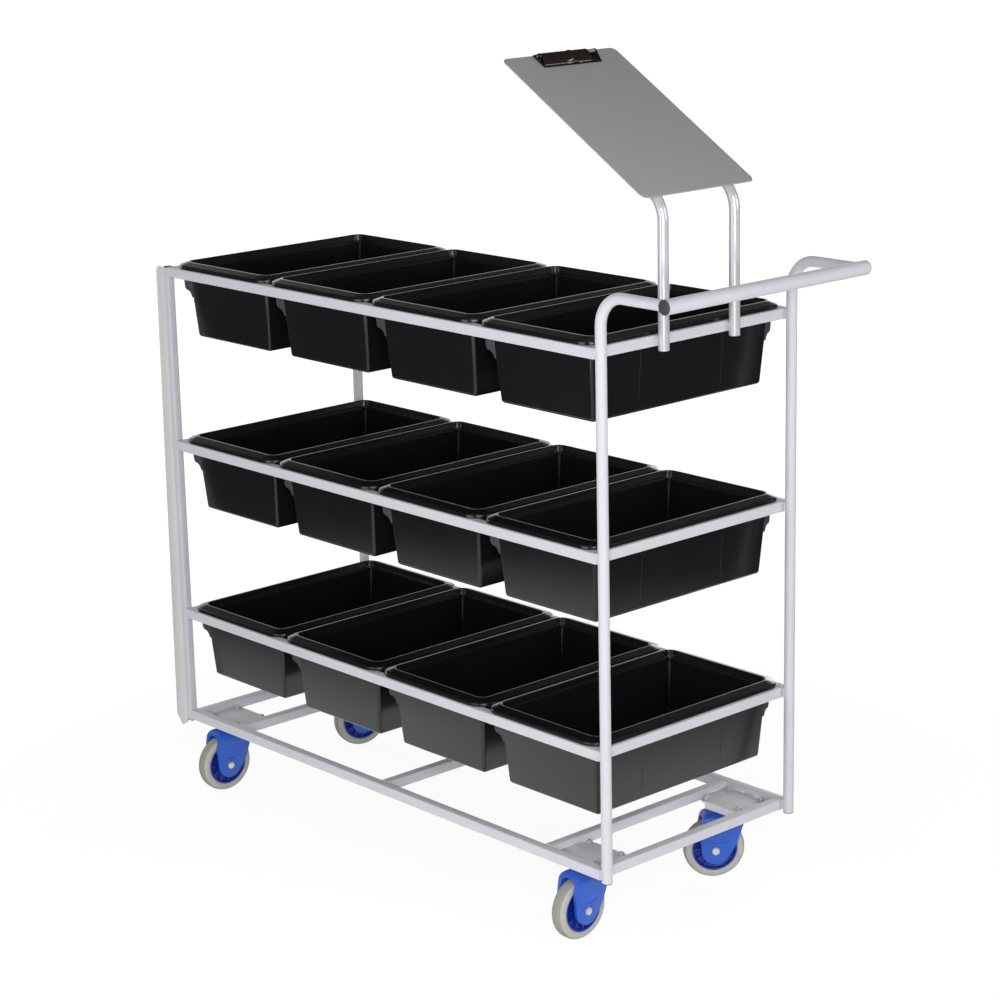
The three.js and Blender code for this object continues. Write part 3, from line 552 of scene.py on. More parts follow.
def reshape_ring(verts, centre, old, new):
    """Moves a rounded rectangle of points from one half width, half length and corner to another."""
    for vert in verts:
        for axis in (0, 1):
            offset = vert.co[axis] - centre[axis]
            straight = old[axis] - old[2]
            wanted = new[axis] - new[2]
            if abs(offset) > straight:
                moved = wanted + (abs(offset) - straight) * new[2] / old[2]
            else:
                moved = abs(offset) * wanted / straight
            vert.co[axis] = centre[axis] + math.copysign(moved, offset)
        vert.co.z = new[3]


def tub_sections(top):
    """Half width, half length, corner radius and height of the wall, from under the floor round
    over the rim and down to the inside of the floor."""
    sections = []

    def add(out, z, radius):
        sections.append((tub_wall_x + out, tub_wall_y + out, radius, top + z))

    def floor_bend(turn, inset, lift, least, steps):
        for k in steps:
            angle = math.pi / 2 * k / 4
            depth = tub_floor - lift - turn * (1 - math.cos(angle))
            out = -inset - turn * (1 - math.sin(angle))
            add(out - depth * tub_draft, -depth, max(least, wall_corner + out))

    def wall(depths, out):
        for depth in depths:
            share = min(1, depth * mm / corner_fade)
            add(out - depth * mm * tub_draft, -depth * mm,
                rim_corner + (wall_corner - rim_corner) * share + out)

    curl = [(1, -0.4), (2.6, 0.3), (3.3, 1.5), (3.3, 10.5), (4.2, 12), (6, 12.4), (20, 8.4), (23.6, 6.8),
            (25, 4.6), (25.2, 0.35), (28, 0.35), (28, 6), (27.7, 7.6), (26.8, 8.9), (25.4, 9.8),
            (23.4, 10.5), (9.5, 15), (7.6, 15.7), (5.8, 16.2), (4.3, 16.4), (3, 16.5), (1.8, 16.3),
            (0.8, 15.7), (0.2, 14.7), (0, 13.2), (-1, 1.6), (-1.3, 0.5), (-2.2, -0.3), (-3.2, -0.8),
            (-3.6, -1.9)]
    floor_bend(8 * mm, 0, 0, 3 * mm, range(5))
    wall((60, 16, 9, 1.5), 0)
    for out, z in curl:
        add(out * mm, z * mm, rim_corner + out * mm)
    wall((9, 16, 60), -tub_skin)
    floor_bend(7 * mm, tub_skin, tub_base, 2 * mm, range(4, -1, -1))
    return sections


def add_web(bm, corner, reach, outward, inward):
    """A thin web under the rim: it stands out from one wall, in line with the next wall, and its
    outer edge steps back to the wall at the foot, given as depth and share of the reach."""
    corner, outward, inward = Vector(corner), Vector(outward), Vector(inward)
    profile = [(web_root, 14 * mm), (0, 14.4 * mm), (reach, 8.6 * mm)]
    for depth, share in ((46, 0.98), (53, 0.96), (56.5, 0.91), (58.8, 0.82), (60, 0.7), (60.8, 0.55),
                         (61.8, 0.4), (63.5, 0.27), (66.5, 0.15), (71, 0.06), (78, -0.02)):
        wall = -depth * mm * tub_draft
        profile.append((wall + share * (reach - wall), -depth * mm))
    profile.append((web_root, -web_end))
    verts = add_prism(bm, profile, lambda out, z: corner + outward * out + Vector((0, 0, z))
                      + inward * max(0, -z) * tub_draft, inward * web_sheet)
    for face in {face for vert in verts for face in vert.link_faces}:
        face.material_index = 1


def add_parting_line(bm, centre, side, y, top):
    """The low ridge that the join of two mould slides leaves down an end wall."""
    made = add_block(bm, (2 * mm, 2.6 * mm, ridge_length), (0, 0, 0))
    verts = bevel_edges(bm, edges_at(made), 0.9 * mm, 4)
    lean = Matrix.Rotation(side * math.atan(tub_draft), 4, "Y")
    depth = ridge_top + ridge_length / 2
    x = centre.x + side * (tub_wall_x - depth * tub_draft - 0.2 * mm)
    place = Matrix.Translation((x, centre.y + y, top - depth))
    bmesh.ops.transform(bm, matrix=place @ lean, verts=list(verts))


tub_black = black_polypropylene()
tub_grained = eroded_polypropylene()
for tier, top in tier_tops.items():
    sections = tub_sections(top)
    half_x, half_y, corner, under_floor = sections[0]
    for place in (1, 2, 3, 4):
        low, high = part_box(f"tub_{tier}_{place}")
        centre = (low + high) / 2
        bm = bmesh.new()
        add_rounded_face(bm, half_x, half_y, corner, 10)
        bm.transform(Matrix.Translation((centre.x, centre.y, under_floor)))
        edges = bm.edges[:]
        for old, new in zip(sections, sections[1:]):
            grown = bmesh.ops.extrude_edge_only(bm, edges=edges)["geom"]
            edges = edges_of(grown)
            reshape_ring(verts_of(grown), centre, old, new)
        bmesh.ops.holes_fill(bm, edges=edges)
        far_x, handle_x = centre.x - tub_wall_x, centre.x + tub_wall_x
        left_y, right_y = centre.y - tub_wall_y, centre.y + tub_wall_y
        add_web(bm, (far_x, left_y, top), far_web, (-1, 0, 0), (0, 1, 0))
        add_web(bm, (far_x, right_y, top), far_web, (-1, 0, 0), (0, -1, 0))
        add_web(bm, (handle_x, right_y, top), handle_web, (0, 1, 0), (-1, 0, 0))
        for side in (-1, 1):
            for y in (-ridge_place, ridge_place):
                add_parting_line(bm, centre, side, y, top)
        tub = make_piece(f"tub_shell_{tier}_{place}", bm, tub_black, tub_grained, sharp=40)
        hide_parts(f"tub_{tier}_{place}")
        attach(tub, f"tub_{tier}_{place}")

# The castor heads.
# Pressed and zinc plated steel: a flat top plate under the mounting plate, four studs with
# nuts, and the two dished rings of the ball race that the fork turns on.
stud_places = [(x * 52.5 * mm, y * 40 * mm) for x in (-1, 1) for y in (-1, 1)]
plate_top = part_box("castor_plate_handle_left")[1].z
head_top = plate_top - plate_sheet - seat_gap
head_sheet, head_half_x, head_half_y, head_corner = 5 * mm, 67.5 * mm, 49 * mm, 8 * mm
head_under = head_top - head_sheet
fork_top = 169.5 * mm
king_nut = 150.4 * mm


def zinc_plate():
    # Bright zinc under a milky clear passivation: a cool light grey that scatters some light,
    # with faint clouds of yellow about 17 mm across.
    material, tree, shader, place = start_finish("bright zinc plate on steel")
    cloud = add_node(tree, "ShaderNodeTexNoise", {"Vector": place, "Scale": 60, "Detail": 2})
    tint = add_node(tree, "ShaderNodeValToRGB", {"Fac": cloud.outputs["Fac"]})
    set_stops(tint, (linear("#C3C6C9"), linear("#D8D2BE")), (0.4, 0.75))
    gloss = add_node(tree, "ShaderNodeMapRange", {"Value": cloud.outputs["Fac"],
                     "To Min": 0.28, "To Max": 0.46})
    set_inputs(tree, shader, {"Base Color": tint.outputs["Color"], "Metallic": 0.6,
                              "Roughness": gloss.outputs["Result"]})
    return material


def add_hexagon(bm, centre, axis, across, depth):
    """A bolt head or nut with its corners turned off on the outer face."""
    made = bmesh.ops.create_cone(bm, cap_ends=True, segments=6, radius1=across / math.sqrt(3),
                                 radius2=across / math.sqrt(3), depth=depth)["verts"]
    rim = [e for e in edges_at(made) if all(v.co.z > depth * 0.4 for v in e.verts)]
    verts = bevel_edges(bm, rim, across * 0.05, 2) | {v for v in made if v.is_valid}
    bmesh.ops.transform(bm, matrix=Matrix.Translation(centre) @ facing(axis), verts=list(verts))


def washer_section(bore, radius, low, high):
    """The section of a flat washer, for turning."""
    return [(bore, low), (radius, low), (radius, high), (bore, high)]


zinc = zinc_plate()
head_form = bmesh.new()
add_rounded_face(head_form, head_half_x, head_half_y, head_corner, 6)
swept = bmesh.ops.extrude_face_region(head_form, geom=head_form.faces[:])["geom"]
bmesh.ops.translate(head_form, vec=(0, 0, head_sheet), verts=verts_of(swept))
head_form.transform(Matrix.Translation((0, 0, head_under)))
bevel_edges(head_form, head_form.edges[:], 0.6 * mm, 2)
race = [(0, head_under + 1 * mm), (34.5 * mm, head_under + 1 * mm), (34.8 * mm, head_under - 2 * mm),
        (33 * mm, head_under - 4.5 * mm), (30 * mm, head_under - 5.5 * mm),
        (30.5 * mm, head_under - 7 * mm), (33.5 * mm, head_under - 8.5 * mm),
        (34.6 * mm, head_under - 11 * mm), (34 * mm, fork_top + 0.7 * mm), (0, fork_top + 0.7 * mm)]
king = [(0, head_under), (7.6 * mm, head_under), (7.6 * mm, 148 * mm), (0, 148 * mm)]
stud = [(0, head_under + 1 * mm), (3.9 * mm, head_under + 1 * mm), (3.9 * mm, plate_top + 8.8 * mm),
        (3.2 * mm, plate_top + 9.4 * mm), (0, plate_top + 9.4 * mm)]
washer = washer_section(4.4 * mm, 8.4 * mm, plate_top + 0.4 * mm, plate_top + 1.6 * mm)
turned = [(race, 0, 0, 48), (king, 0, 0, 24)]
turned += [(stud, x, y, 16) for x, y in stud_places] + [(washer, x, y, 24) for x, y in stud_places]
for profile, x, y, steps in turned:
    add_turned(head_form, profile, (x, y, 0), (0, 0, 1), (1, 0, 0), steps)
add_hexagon(head_form, (0, 0, king_nut), (0, 0, -1), 20 * mm, 7.6 * mm)
for x, y in stud_places:
    add_hexagon(head_form, (x, y, plate_top + 3.9 * mm), (0, 0, 1), 13 * mm, 6.2 * mm)
join_points(head_form)
castor_places = {}
for corner in corner_ways:
    low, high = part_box(f"castor_{corner}_head")
    castor_places[corner] = Vector(((low.x + high.x) / 2, (low.y + high.y) / 2, 0))
    bm = head_form.copy()
    bm.transform(Matrix.Translation(castor_places[corner]))
    head = make_piece(f"castor_{corner}_race_and_plate", bm, zinc, sharp=40)
    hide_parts(f"castor_{corner}_head")
    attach(head, "cart_frame")

# The castor forks.
# One glass-filled nylon moulding in bright blue: an arched crown over the wheel runs down
# into two cheeks that narrow to a round eye for the axle.
rest_yaw = {"handle_left": 90, "handle_right": 53, "far_left": 86, "far_right": 73}
wheel_radius, trail, fork_half = 75 * mm, 50 * mm, 32 * mm
axle_centre = Vector((-trail, 0, wheel_radius))


def arc(centre, radius, start, end, steps):
    """Points round part of a circle, with both angles in degrees."""
    angles = (math.radians(start + (end - start) * k / steps) for k in range(steps + 1))
    return [(centre[0] + radius * math.cos(a), centre[1] + radius * math.sin(a)) for a in angles]


def curve(start, control, end, steps):
    """Points along a plain quadratic curve, without its first point."""
    points = []
    for k in range(1, steps + 1):
        t = k / steps
        points.append(tuple((1 - t) ** 2 * a + 2 * t * (1 - t) * b + t * t * c
                            for a, b, c in zip(start, control, end)))
    return points


def shared_form(one, two):
    """The mesh that two solids share."""
    first, second = (make_piece(name, bm) for name, bm in (("first", one), ("second", two)))
    cut = first.modifiers.new("cut", "BOOLEAN")
    cut.object, cut.operation, cut.solver = second, "INTERSECT", "EXACT"
    mesh = bpy.data.meshes.new_from_object(first.evaluated_get(bpy.context.evaluated_depsgraph_get()))
    for old in (first, second):
        bpy.data.objects.remove(old)
    result = bmesh.new()
    result.from_mesh(mesh)
    bpy.data.meshes.remove(mesh)
    join_points(result)
    return result


def blue_nylon(name, colour, roughness):
    # Glass-filled nylon: strong blue right through, with a satin face, pale speckle from the
    # glass near the surface and slight sink marks of about 22 mm.
    material, tree, shader, place = start_finish(name)
    speck = add_node(tree, "ShaderNodeTexNoise", {"Vector": place, "Scale": 1 / (1.5 * mm), "Detail": 3})
    tone = add_node(tree, "ShaderNodeValToRGB", {"Fac": speck.outputs["Fac"]})
    set_stops(tone, (shaded(colour, 0.9), shaded(colour, 1.12)))
    sink = add_node(tree, "ShaderNodeTexNoise", {"Vector": place, "Scale": 1 / (22 * mm), "Detail": 1})
    soft = add_node(tree, "ShaderNodeBump",
                    {"Height": sink.outputs["Fac"], "Strength": 0.3, "Distance": 0.8 * mm})
    fine = add_node(tree, "ShaderNodeBump", {"Height": speck.outputs["Fac"], "Strength": 0.08,
                    "Distance": 0.2 * mm, "Normal": soft.outputs["Normal"]})
    set_inputs(tree, shader, {"Base Color": tone.outputs["Color"], "IOR": 1.53, "Roughness": roughness,
                              "Normal": fine.outputs["Normal"]})
    return material


def round_edges(bm, width, angle=30, segments=3):
    """Rounds every edge that is sharper than an angle."""
    sharp = [e for e in bm.edges if len(e.link_faces) == 2
             and e.calc_face_angle() > math.radians(angle)]
    bmesh.ops.bevel(bm, geom=sharp, offset=width, affect="EDGES", segments=segments, profile=0.5,
                    material=-1, clamp_overlap=True)


cheek_side = [(-84, 75), *arc((-50, 75), 34, 180, 322, 14)[1:],
              *curve((-23, 54), (4, 86), (14, 128), 8), (26, 162),
              *curve((26, 162), (29, 169.5), (20, 169.5), 4), (-62, 169.5),
              *curve((-62, 169.5), (-78, 167), (-82, 145), 6), (-87, 115)]
front_arch = [(32, 20), *arc((8, 145.5), 24, 0, 90, 10), *arc((-8, 145.5), 24, 90, 180, 10), (-32, 20),
              (-22.5, 20), *arc((-8, 139.5), 14.5, 180, 90, 8), *arc((8, 139.5), 14.5, 90, 0, 8),
              (22.5, 20)]
side_solid, front_solid = bmesh.new(), bmesh.new()
add_prism(side_solid, cheek_side, lambda u, z: Vector((u, -40, z)) * mm, (0, 80 * mm, 0))
add_prism(front_solid, front_arch, lambda y, z: Vector((-120, y, z)) * mm, (200 * mm, 0, 0))
fork_form = shared_form(side_solid, front_solid)
bmesh.ops.dissolve_limit(fork_form, angle_limit=math.radians(0.5), verts=fork_form.verts,
                         edges=fork_form.edges)
round_edges(fork_form, 1.6 * mm)
for side in (-1, 1):
    line = [Vector((u * mm, side * fork_half, z * mm)) for u, z in arc((-40, 132), 40, 242, 300, 10)]
    for start, end in zip(line, line[1:]):
        add_weld(fork_form, start, end, 2 * mm)
    disc_low, disc_high = fork_half - 2 * mm, fork_half + 0.2 * mm
    disc = [(0, disc_low), (14 * mm, disc_low), (13.4 * mm, disc_high), (0, disc_high)]
    add_turned(fork_form, disc, axle_centre, (0, side, 0), (1, 0, 0), 32)
join_points(fork_form, 1e-7)
fork_blue = blue_nylon("glass-filled nylon, bright blue", "#2057C0", 0.38)


def stand_copy(form, corner):
    """A copy of a piece drawn along +X about the swivel, turned the way that castor stands."""
    bm = form.copy()
    turn = Matrix.Rotation(math.radians(rest_yaw[corner]), 4, "Z")
    bm.transform(Matrix.Translation(castor_places[corner]) @ turn)
    return bm


for corner in castor_places:
    fork = make_piece(f"castor_{corner}_moulded_fork", stand_copy(fork_form, corner), fork_blue,
                      sharp=40)
    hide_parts(f"castor_{corner}_fork")
    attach(fork, f"swivel_{corner}")

# The castor axles.
# A zinc plated bolt with a hexagon head and a washer at one end, and a washer and a nut at the
# other.
shank_half = fork_half + 1 * mm
axle_form = bmesh.new()
shank = [(0, -shank_half), (4.9 * mm, -shank_half), (4.9 * mm, shank_half), (0, shank_half)]
washer = washer_section(4.4 * mm, 9.6 * mm, fork_half + 0.3 * mm, fork_half + 1.5 * mm)
add_turned(axle_form, shank, axle_centre, (0, 1, 0), (1, 0, 0), 24)
for side in (-1, 1):
    add_turned(axle_form, washer, axle_centre, (0, side, 0), (1, 0, 0), 32)
    add_hexagon(axle_form, axle_centre + Vector((0, side * (fork_half + 3.4 * mm), 0)), (0, side, 0),
                16.6 * mm, 3.8 * mm)
join_points(axle_form)
for corner in castor_places:
    axle = make_piece(f"castor_{corner}_bolt", stand_copy(axle_form, corner), zinc, sharp=40)
    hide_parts(f"castor_{corner}_axle")
    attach(axle, f"swivel_{corner}")

# The wheel hubs.
# Darker blue nylon with a dished web on each side, stiffened by thin radial ribs between the
# axle boss and the rim that carries the tyre.
hub_half = [(5.3, 21), (13, 21), (14.5, 19.5), (16, 6), (44, 6), (49.5, 8), (50.5, 15.5), (51.5, 17.4),
            (54, 17.8), (55, 17)]
hub_ribs, rib_size = 12, (36 * mm, 9 * mm, 2.4 * mm)
rib_middle, rib_out = 32.5 * mm, 10 * mm


def turn_wheel_ring(half_section, steps):
    """A round form from half a section, in millimetres, and its mirror image across the wheel."""
    section = [(radius * mm, along * mm) for radius, along in half_section]
    section += [(radius, -along) for radius, along in reversed(section)]
    bm = bmesh.new()
    add_turned(bm, section, (0, 0, 0), (0, 1, 0), (1, 0, 0), steps)
    return bm


hub_blue = blue_nylon("glass-filled nylon, deep blue", "#12309A", 0.42)
hub_form = turn_wheel_ring(hub_half, 64)
for k in range(hub_ribs):
    turn = Matrix.Rotation(2 * math.pi * k / hub_ribs, 3, "Y")
    for side in (-1, 1):
        rib = add_block(hub_form, rib_size, (rib_middle, side * rib_out, 0))
        bmesh.ops.rotate(hub_form, matrix=turn, verts=rib)
join_points(hub_form)
hub_form.transform(Matrix.Translation(axle_centre))
for corner in castor_places:
    hub = make_piece(f"castor_{corner}_ribbed_hub", stand_copy(hub_form, corner), hub_blue, sharp=40)
    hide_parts(f"castor_{corner}_hub")
    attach(hub, f"wheel_{corner}")

# The tyres.
# Grey non-marking rubber bonded on the hub, with round shoulders, a fine step at the bead and
# a tread in a slightly darker grey.
tyre_half = [(55.3, 17.6), (56.6, 18.8), (58.5, 19.3), (60.5, 19.5), *arc((60.5, 4.5), 14.5, 82, 8, 9),
             (75, 4)]
tread_from = 71.5 * mm


def grey_rubber(name, colour, roughness):
    # Thermoplastic rubber: matt, with a fine pitted grain and a little grime in patches of
    # about 22 mm.
    material, tree, shader, place = start_finish(name)
    dirt = add_node(tree, "ShaderNodeTexNoise", {"Vector": place, "Scale": 45, "Detail": 5})
    tone = add_node(tree, "ShaderNodeValToRGB", {"Fac": dirt.outputs["Fac"]})
    set_stops(tone, (shaded(colour, 0.82), shaded(colour, 1.08)))
    pits = add_node(tree, "ShaderNodeTexNoise", {"Vector": place, "Scale": 1 / (0.9 * mm), "Detail": 3})
    bump = add_node(tree, "ShaderNodeBump",
                    {"Height": pits.outputs["Fac"], "Strength": 0.2, "Distance": 0.3 * mm})
    set_inputs(tree, shader, {"Base Color": tone.outputs["Color"], "Roughness": roughness,
                              "Normal": bump.outputs["Normal"]})
    return material


side_rubber = grey_rubber("thermoplastic rubber, pale grey", "#B9B8B1", 0.6)
tread_rubber = grey_rubber("thermoplastic rubber, darker tread", "#9B9991", 0.72)
tyre_form = turn_wheel_ring(tyre_half, 96)
join_points(tyre_form)
for face in tyre_form.faces:
    middle = face.calc_center_median()
    if math.hypot(middle.x, middle.z) > tread_from:
        face.material_index = 1
tyre_form.transform(Matrix.Translation(axle_centre))
for corner in castor_places:
    tyre = make_piece(f"castor_{corner}_rubber_tyre", stand_copy(tyre_form, corner), side_rubber,
                      tread_rubber, sharp=40)
    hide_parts(f"castor_{corner}_tyre")
    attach(tyre, f"wheel_{corner}")

# The clipboard tubes.
# The same round tube as the handle posts, in a glossier enamel with a little metal in it. They
# are welded to the end rail of the top tier, bent back under the board and closed at both ends.
board_tilt = 0.548
board_low, board_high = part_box("clipboard_board")
board_normal = Vector((math.sin(board_tilt), 0, math.cos(board_tilt)))
board_up = Vector((-math.cos(board_tilt), 0, math.sin(board_tilt)))
board_length, board_width, board_sheet, board_corner = 522 * mm, 355 * mm, 3 * mm, 16 * mm
board_foot = Vector((board_high.x, centre_y, board_low.z + board_sheet * board_normal.z))
tube_bend, tube_end = 75 * mm, 262 * mm
tube_gloss = powder_coat("silver grey stove enamel", "#D3D3D9", 0.22, 0.28)
turn = math.pi / 2 - board_tilt
tangent = tube_bend * math.tan(turn / 2)
on_axis = board_foot - board_normal * (board_sheet + seat_gap + post_radius)
corner_up = (on_axis.x - post_line) / math.cos(board_tilt)
corner_z = (on_axis + board_up * corner_up).z
for _, label in sides:
    low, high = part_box(f"clipboard_tube_{label}")
    y = (low.y + high.y) / 2
    bm = bmesh.new()
    add_bent_tube(bm, post_radius, (post_line, y, low.z), corner_z - tangent, tube_bend, turn,
                  tube_end - corner_up - tangent)
    close_ends(bm)
    add_post_welds(bm, end_bead_x, y, end_bead_apart, [tier_tops[1]])
    tube = make_piece(f"clipboard_tube_{label}_bent", bm, tube_gloss)
    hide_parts(f"clipboard_tube_{label}")
    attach(tube, "cart_frame")

# The clipboard board.
# A stiff sheet of grey plastic with rounded corners and softened edges, held on the tubes from
# behind.
board_turn = Matrix(((board_up.x, 0, board_normal.x, board_foot.x),
                     (0, -1, 0, board_foot.y),
                     (board_up.z, 0, board_normal.z, board_foot.z),
                     (0, 0, 0, 1)))
board_grey = moulded_plastic("calendered hard plastic sheet, grey", "#A8A7AB", 0.5, 0.8 * mm, 0.05)
bm = bmesh.new()
add_rounded_face(bm, board_length / 2, board_width / 2, board_corner, 12)
swept = bmesh.ops.extrude_face_region(bm, geom=bm.faces[:])["geom"]
bmesh.ops.translate(bm, vec=(0, 0, -board_sheet), verts=verts_of(swept))
bmesh.ops.recalc_face_normals(bm, faces=bm.faces)
rims = [e for e in bm.edges if len(e.link_faces) == 2 and e.calc_face_angle() > 1.2]
bevel_edges(bm, rims, 0.9 * mm, 3)
bm.transform(board_turn @ Matrix.Translation((board_length / 2, 0, 0)))
board = make_piece("clipboard_sheet", bm, board_grey, sharp=50)
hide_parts("clipboard_board")
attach(board, "cart_frame")

# The paper clip.
# Spring steel sheet plated in dark nickel: a base plate with two long ears, and a lever folded
# over the pin, whose waved front lip presses the paper. A zinc plated coil spring sits on the
# pin between the lever and one ear.
clip_middle, clip_half, clip_sheet = -8 * mm, 91 * mm, 1.6 * mm
pin_spot = (507, 9)
pin_up, pin_out = (value * mm for value in pin_spot)
spring_room = 33 * mm
coil_turns, turn_steps, coil_radius, wire = 8, 16, 3.7 * mm, 0.85 * mm
jaw_start = clip_middle - clip_half + clip_sheet + spring_room + seat_gap
jaw_end = clip_middle + clip_half - clip_sheet - seat_gap
jaw_steps = 58
wave_middle, wave_half, wave_rise = 0.66, 0.15, 2.2 * mm
wave_end, wave_fade = 488 * mm, 12 * mm
painted_highlight_up, painted_highlight_out = (476.5 * mm, 479.5 * mm), (4.2 * mm, 5.6 * mm)
hanger_size, hanger_place = (clip_sheet, 12 * mm, 4.6 * mm), (502.8 * mm, -5.5 * mm, 18.9 * mm)
tail_share, tail_radius, tail_length = 0.5575, 1.9 * mm, 12.5 * mm


def dark_nickel():
    # Black nickel plate under clear lacquer: a smooth brown black with narrow highlights, in clouds of
    # about 11 mm. The lighter brown is partly the plate's own tone and partly a painted sheen.
    material, tree, shader, place = start_finish("lacquered black nickel on sheet steel, painted sheen")
    cloud = add_node(tree, "ShaderNodeTexNoise", {"Vector": place, "Scale": 90, "Detail": 3})
    tint = add_node(tree, "ShaderNodeValToRGB", {"Fac": cloud.outputs["Fac"]})
    set_stops(tint, (linear("#3A2C28"), linear("#1E1A19")))
    gloss = add_node(tree, "ShaderNodeMapRange", {"Value": cloud.outputs["Fac"],
                     "To Min": 0.14, "To Max": 0.26})
    set_inputs(tree, shader, {"Base Color": tint.outputs["Color"], "Metallic": 0.35,
                              "Roughness": gloss.outputs["Result"]})
    return material


nickel = dark_nickel()
floor_plate = [(474, 0.35), (520.5, 0.35), (520.5, 1.9), (475, 1.9), (474, 1.3)]
ear = [(478, 0.4), (521.5, 0.4), (521.5, 1.9), *arc(pin_spot, 5, 46, 113, 8), (478, 2.2)]
bm = bmesh.new()
add_prism(bm, floor_plate, lambda up, out: Vector((up * mm, clip_middle - clip_half, out * mm)),
          (0, 2 * clip_half, 0))
for side in (-1, 1):
    add_prism(bm, ear, lambda up, out: Vector((up * mm, clip_middle + side * clip_half, out * mm)),
              (0, -side * clip_sheet, 0))
round_edges(bm, 0.35 * mm, 40, 2)
bm.transform(board_turn)
clip_base = make_piece("clip_base_plate", bm, nickel)
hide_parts("clip_base")
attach(clip_base, "cart_frame")


def lip_rise(point):
    """How far the wave in the lip lifts a point of the lever off the paper."""
    from_wave = ((jaw_end - point.y) / (jaw_end - jaw_start) - wave_middle) / wave_half
    fade = min(1, max(0, (wave_end - point.x) / wave_fade))
    return wave_rise * fade * math.cos(from_wave * math.pi / 2) ** 2 if abs(from_wave) < 1 else 0


outer = [(476.4, 2.4), (476.3, 3.6), (476.7, 4.8), (477.9, 5.3), (479.2, 5), (480.3, 5.9), (489.5, 15.4),
         *curve((489.5, 15.4), (492.4, 17.6), (496.5, 18), 4),
         *curve((496.5, 18), (511.6, 19.4), (512, 9), 9), *arc(pin_spot, 5, 0, -110, 7)[1:]]
inner = [*arc(pin_spot, 3.5, -110, 0, 7), *curve((510.5, 9), (510.4, 17.4), (496.8, 16.5), 9),
         *curve((496.8, 16.5), (493.2, 16.4), (490.5, 14.2), 4), (481, 4.4), (479.4, 3.5), (477.9, 3.8),
         (477.7, 2.4)]
bm = bmesh.new()
face = bm.faces.new([bm.verts.new((up * mm, jaw_start, out * mm)) for up, out in outer + inner])
edges = list(face.edges)
for k in range(jaw_steps):
    edges, _ = push_ring(bm, edges, (0, (jaw_end - jaw_start) / jaw_steps, 0))
bmesh.ops.holes_fill(bm, edges=edges)
for vert in bm.verts:
    vert.co.z += lip_rise(vert.co)
hanger = add_block(bm, hanger_size, hanger_place)
tips = [e for e in edges_at(hanger)
        if all(v.co.z > 20 * mm for v in e.verts) and abs(e.verts[0].co.x - e.verts[1].co.x) > mm]
bevel_edges(bm, tips, 2.4 * mm, 5)
# The faces are turned outward before the painted highlight faces are picked: one row's middles lie right
# on the limit, and their rounding follows the turn.
bmesh.ops.recalc_face_normals(bm, faces=bm.faces)
tail = bmesh.ops.create_cone(bm, cap_ends=True, segments=12, radius1=tail_radius,
                             radius2=tail_radius, depth=tail_length)["verts"]
tail_place = (480.6 * mm, jaw_end + (jaw_start - jaw_end) * tail_share, 9.6 * mm)
bmesh.ops.transform(bm, matrix=Matrix.Translation(tail_place) @ facing((1.4, -8, 1.4)), verts=tail)
for face in {f for v in tail for f in v.link_faces}:
    face.material_index = 1
# A band of faces along the lip takes the light zinc finish: a painted highlight line along its edge.
for face in bm.faces:
    middle = face.calc_center_median()
    out = middle.z - lip_rise(middle)
    if painted_highlight_up[0] < middle.x < painted_highlight_up[1] and painted_highlight_out[0] < out < painted_highlight_out[1]:
        face.material_index = 1
bm.transform(board_turn)
clip_jaw = make_piece("clip_lever_jaw", bm, nickel, zinc)
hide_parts("clip_lever")
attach(clip_jaw, "clip_jaw")

pin = [(0, -clip_half - 1 * mm), (1.6 * mm, -clip_half - 1 * mm), (2 * mm, -clip_half - 0.4 * mm),
       (2 * mm, clip_half + 0.4 * mm), (1.6 * mm, clip_half + 1 * mm), (0, clip_half + 1 * mm)]
bm = bmesh.new()
add_turned(bm, pin, (pin_up, clip_middle, pin_out), (0, 1, 0), (1, 0, 0), 20)
ring = bmesh.ops.create_circle(bm, cap_ends=True, radius=wire, segments=8)["verts"]
coil_start = clip_middle - clip_half + clip_sheet + wire + seat_gap
bmesh.ops.translate(bm, vec=(pin_up + coil_radius, coil_start, pin_out), verts=ring)
coil_pitch = (spring_room - 2 * wire - 2 * seat_gap) / coil_turns
spun = bmesh.ops.spin(bm, geom=edges_at(ring), cent=(pin_up, coil_start, pin_out), axis=(0, -1, 0),
                      dvec=(0, coil_pitch / turn_steps, 0), angle=2 * math.pi * coil_turns,
                      steps=coil_turns * turn_steps, use_merge=False)["geom_last"]
bmesh.ops.holes_fill(bm, edges=edges_of(spun))
join_points(bm)
bm.transform(board_turn)
clip_pin = make_piece("clip_hinge_pin", bm, zinc)
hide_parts("clip_pin")
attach(clip_pin, "cart_frame")

# The floor, the light and the camera.
# A plain white studio: a roll of paper some 3 m wide runs under the cart and up behind it, lit by
# soft lamps. Gloss shows the paper and the dim studio beside it, so the tubs' walls stay dark.
view_right, view_ahead = (0.667, 0.745, 0), (-0.745, 0.667, 0)
floor_half = 30


def straight_rays(tree):
    """The kinds of ray, and a 1 for those that reach the camera straight or through glass."""
    rays = add_node(tree, "ShaderNodeLightPath").outputs
    straight = add_node(tree, "ShaderNodeMath", {0: rays["Is Camera Ray"],
                        1: rays["Is Transmission Ray"]}, operation="MAXIMUM")
    return rays, straight.outputs[0]


floor_mesh = bmesh.new()
bmesh.ops.create_grid(floor_mesh, x_segments=1, y_segments=1, size=floor_half)
floor = make_piece("studio_floor", floor_mesh)
paper, tree, shader, place = start_finish("white background paper")
set_inputs(tree, shader, {"Base Color": linear("#F4F4F4"), "Roughness": 0.9})
rays, straight = straight_rays(tree)
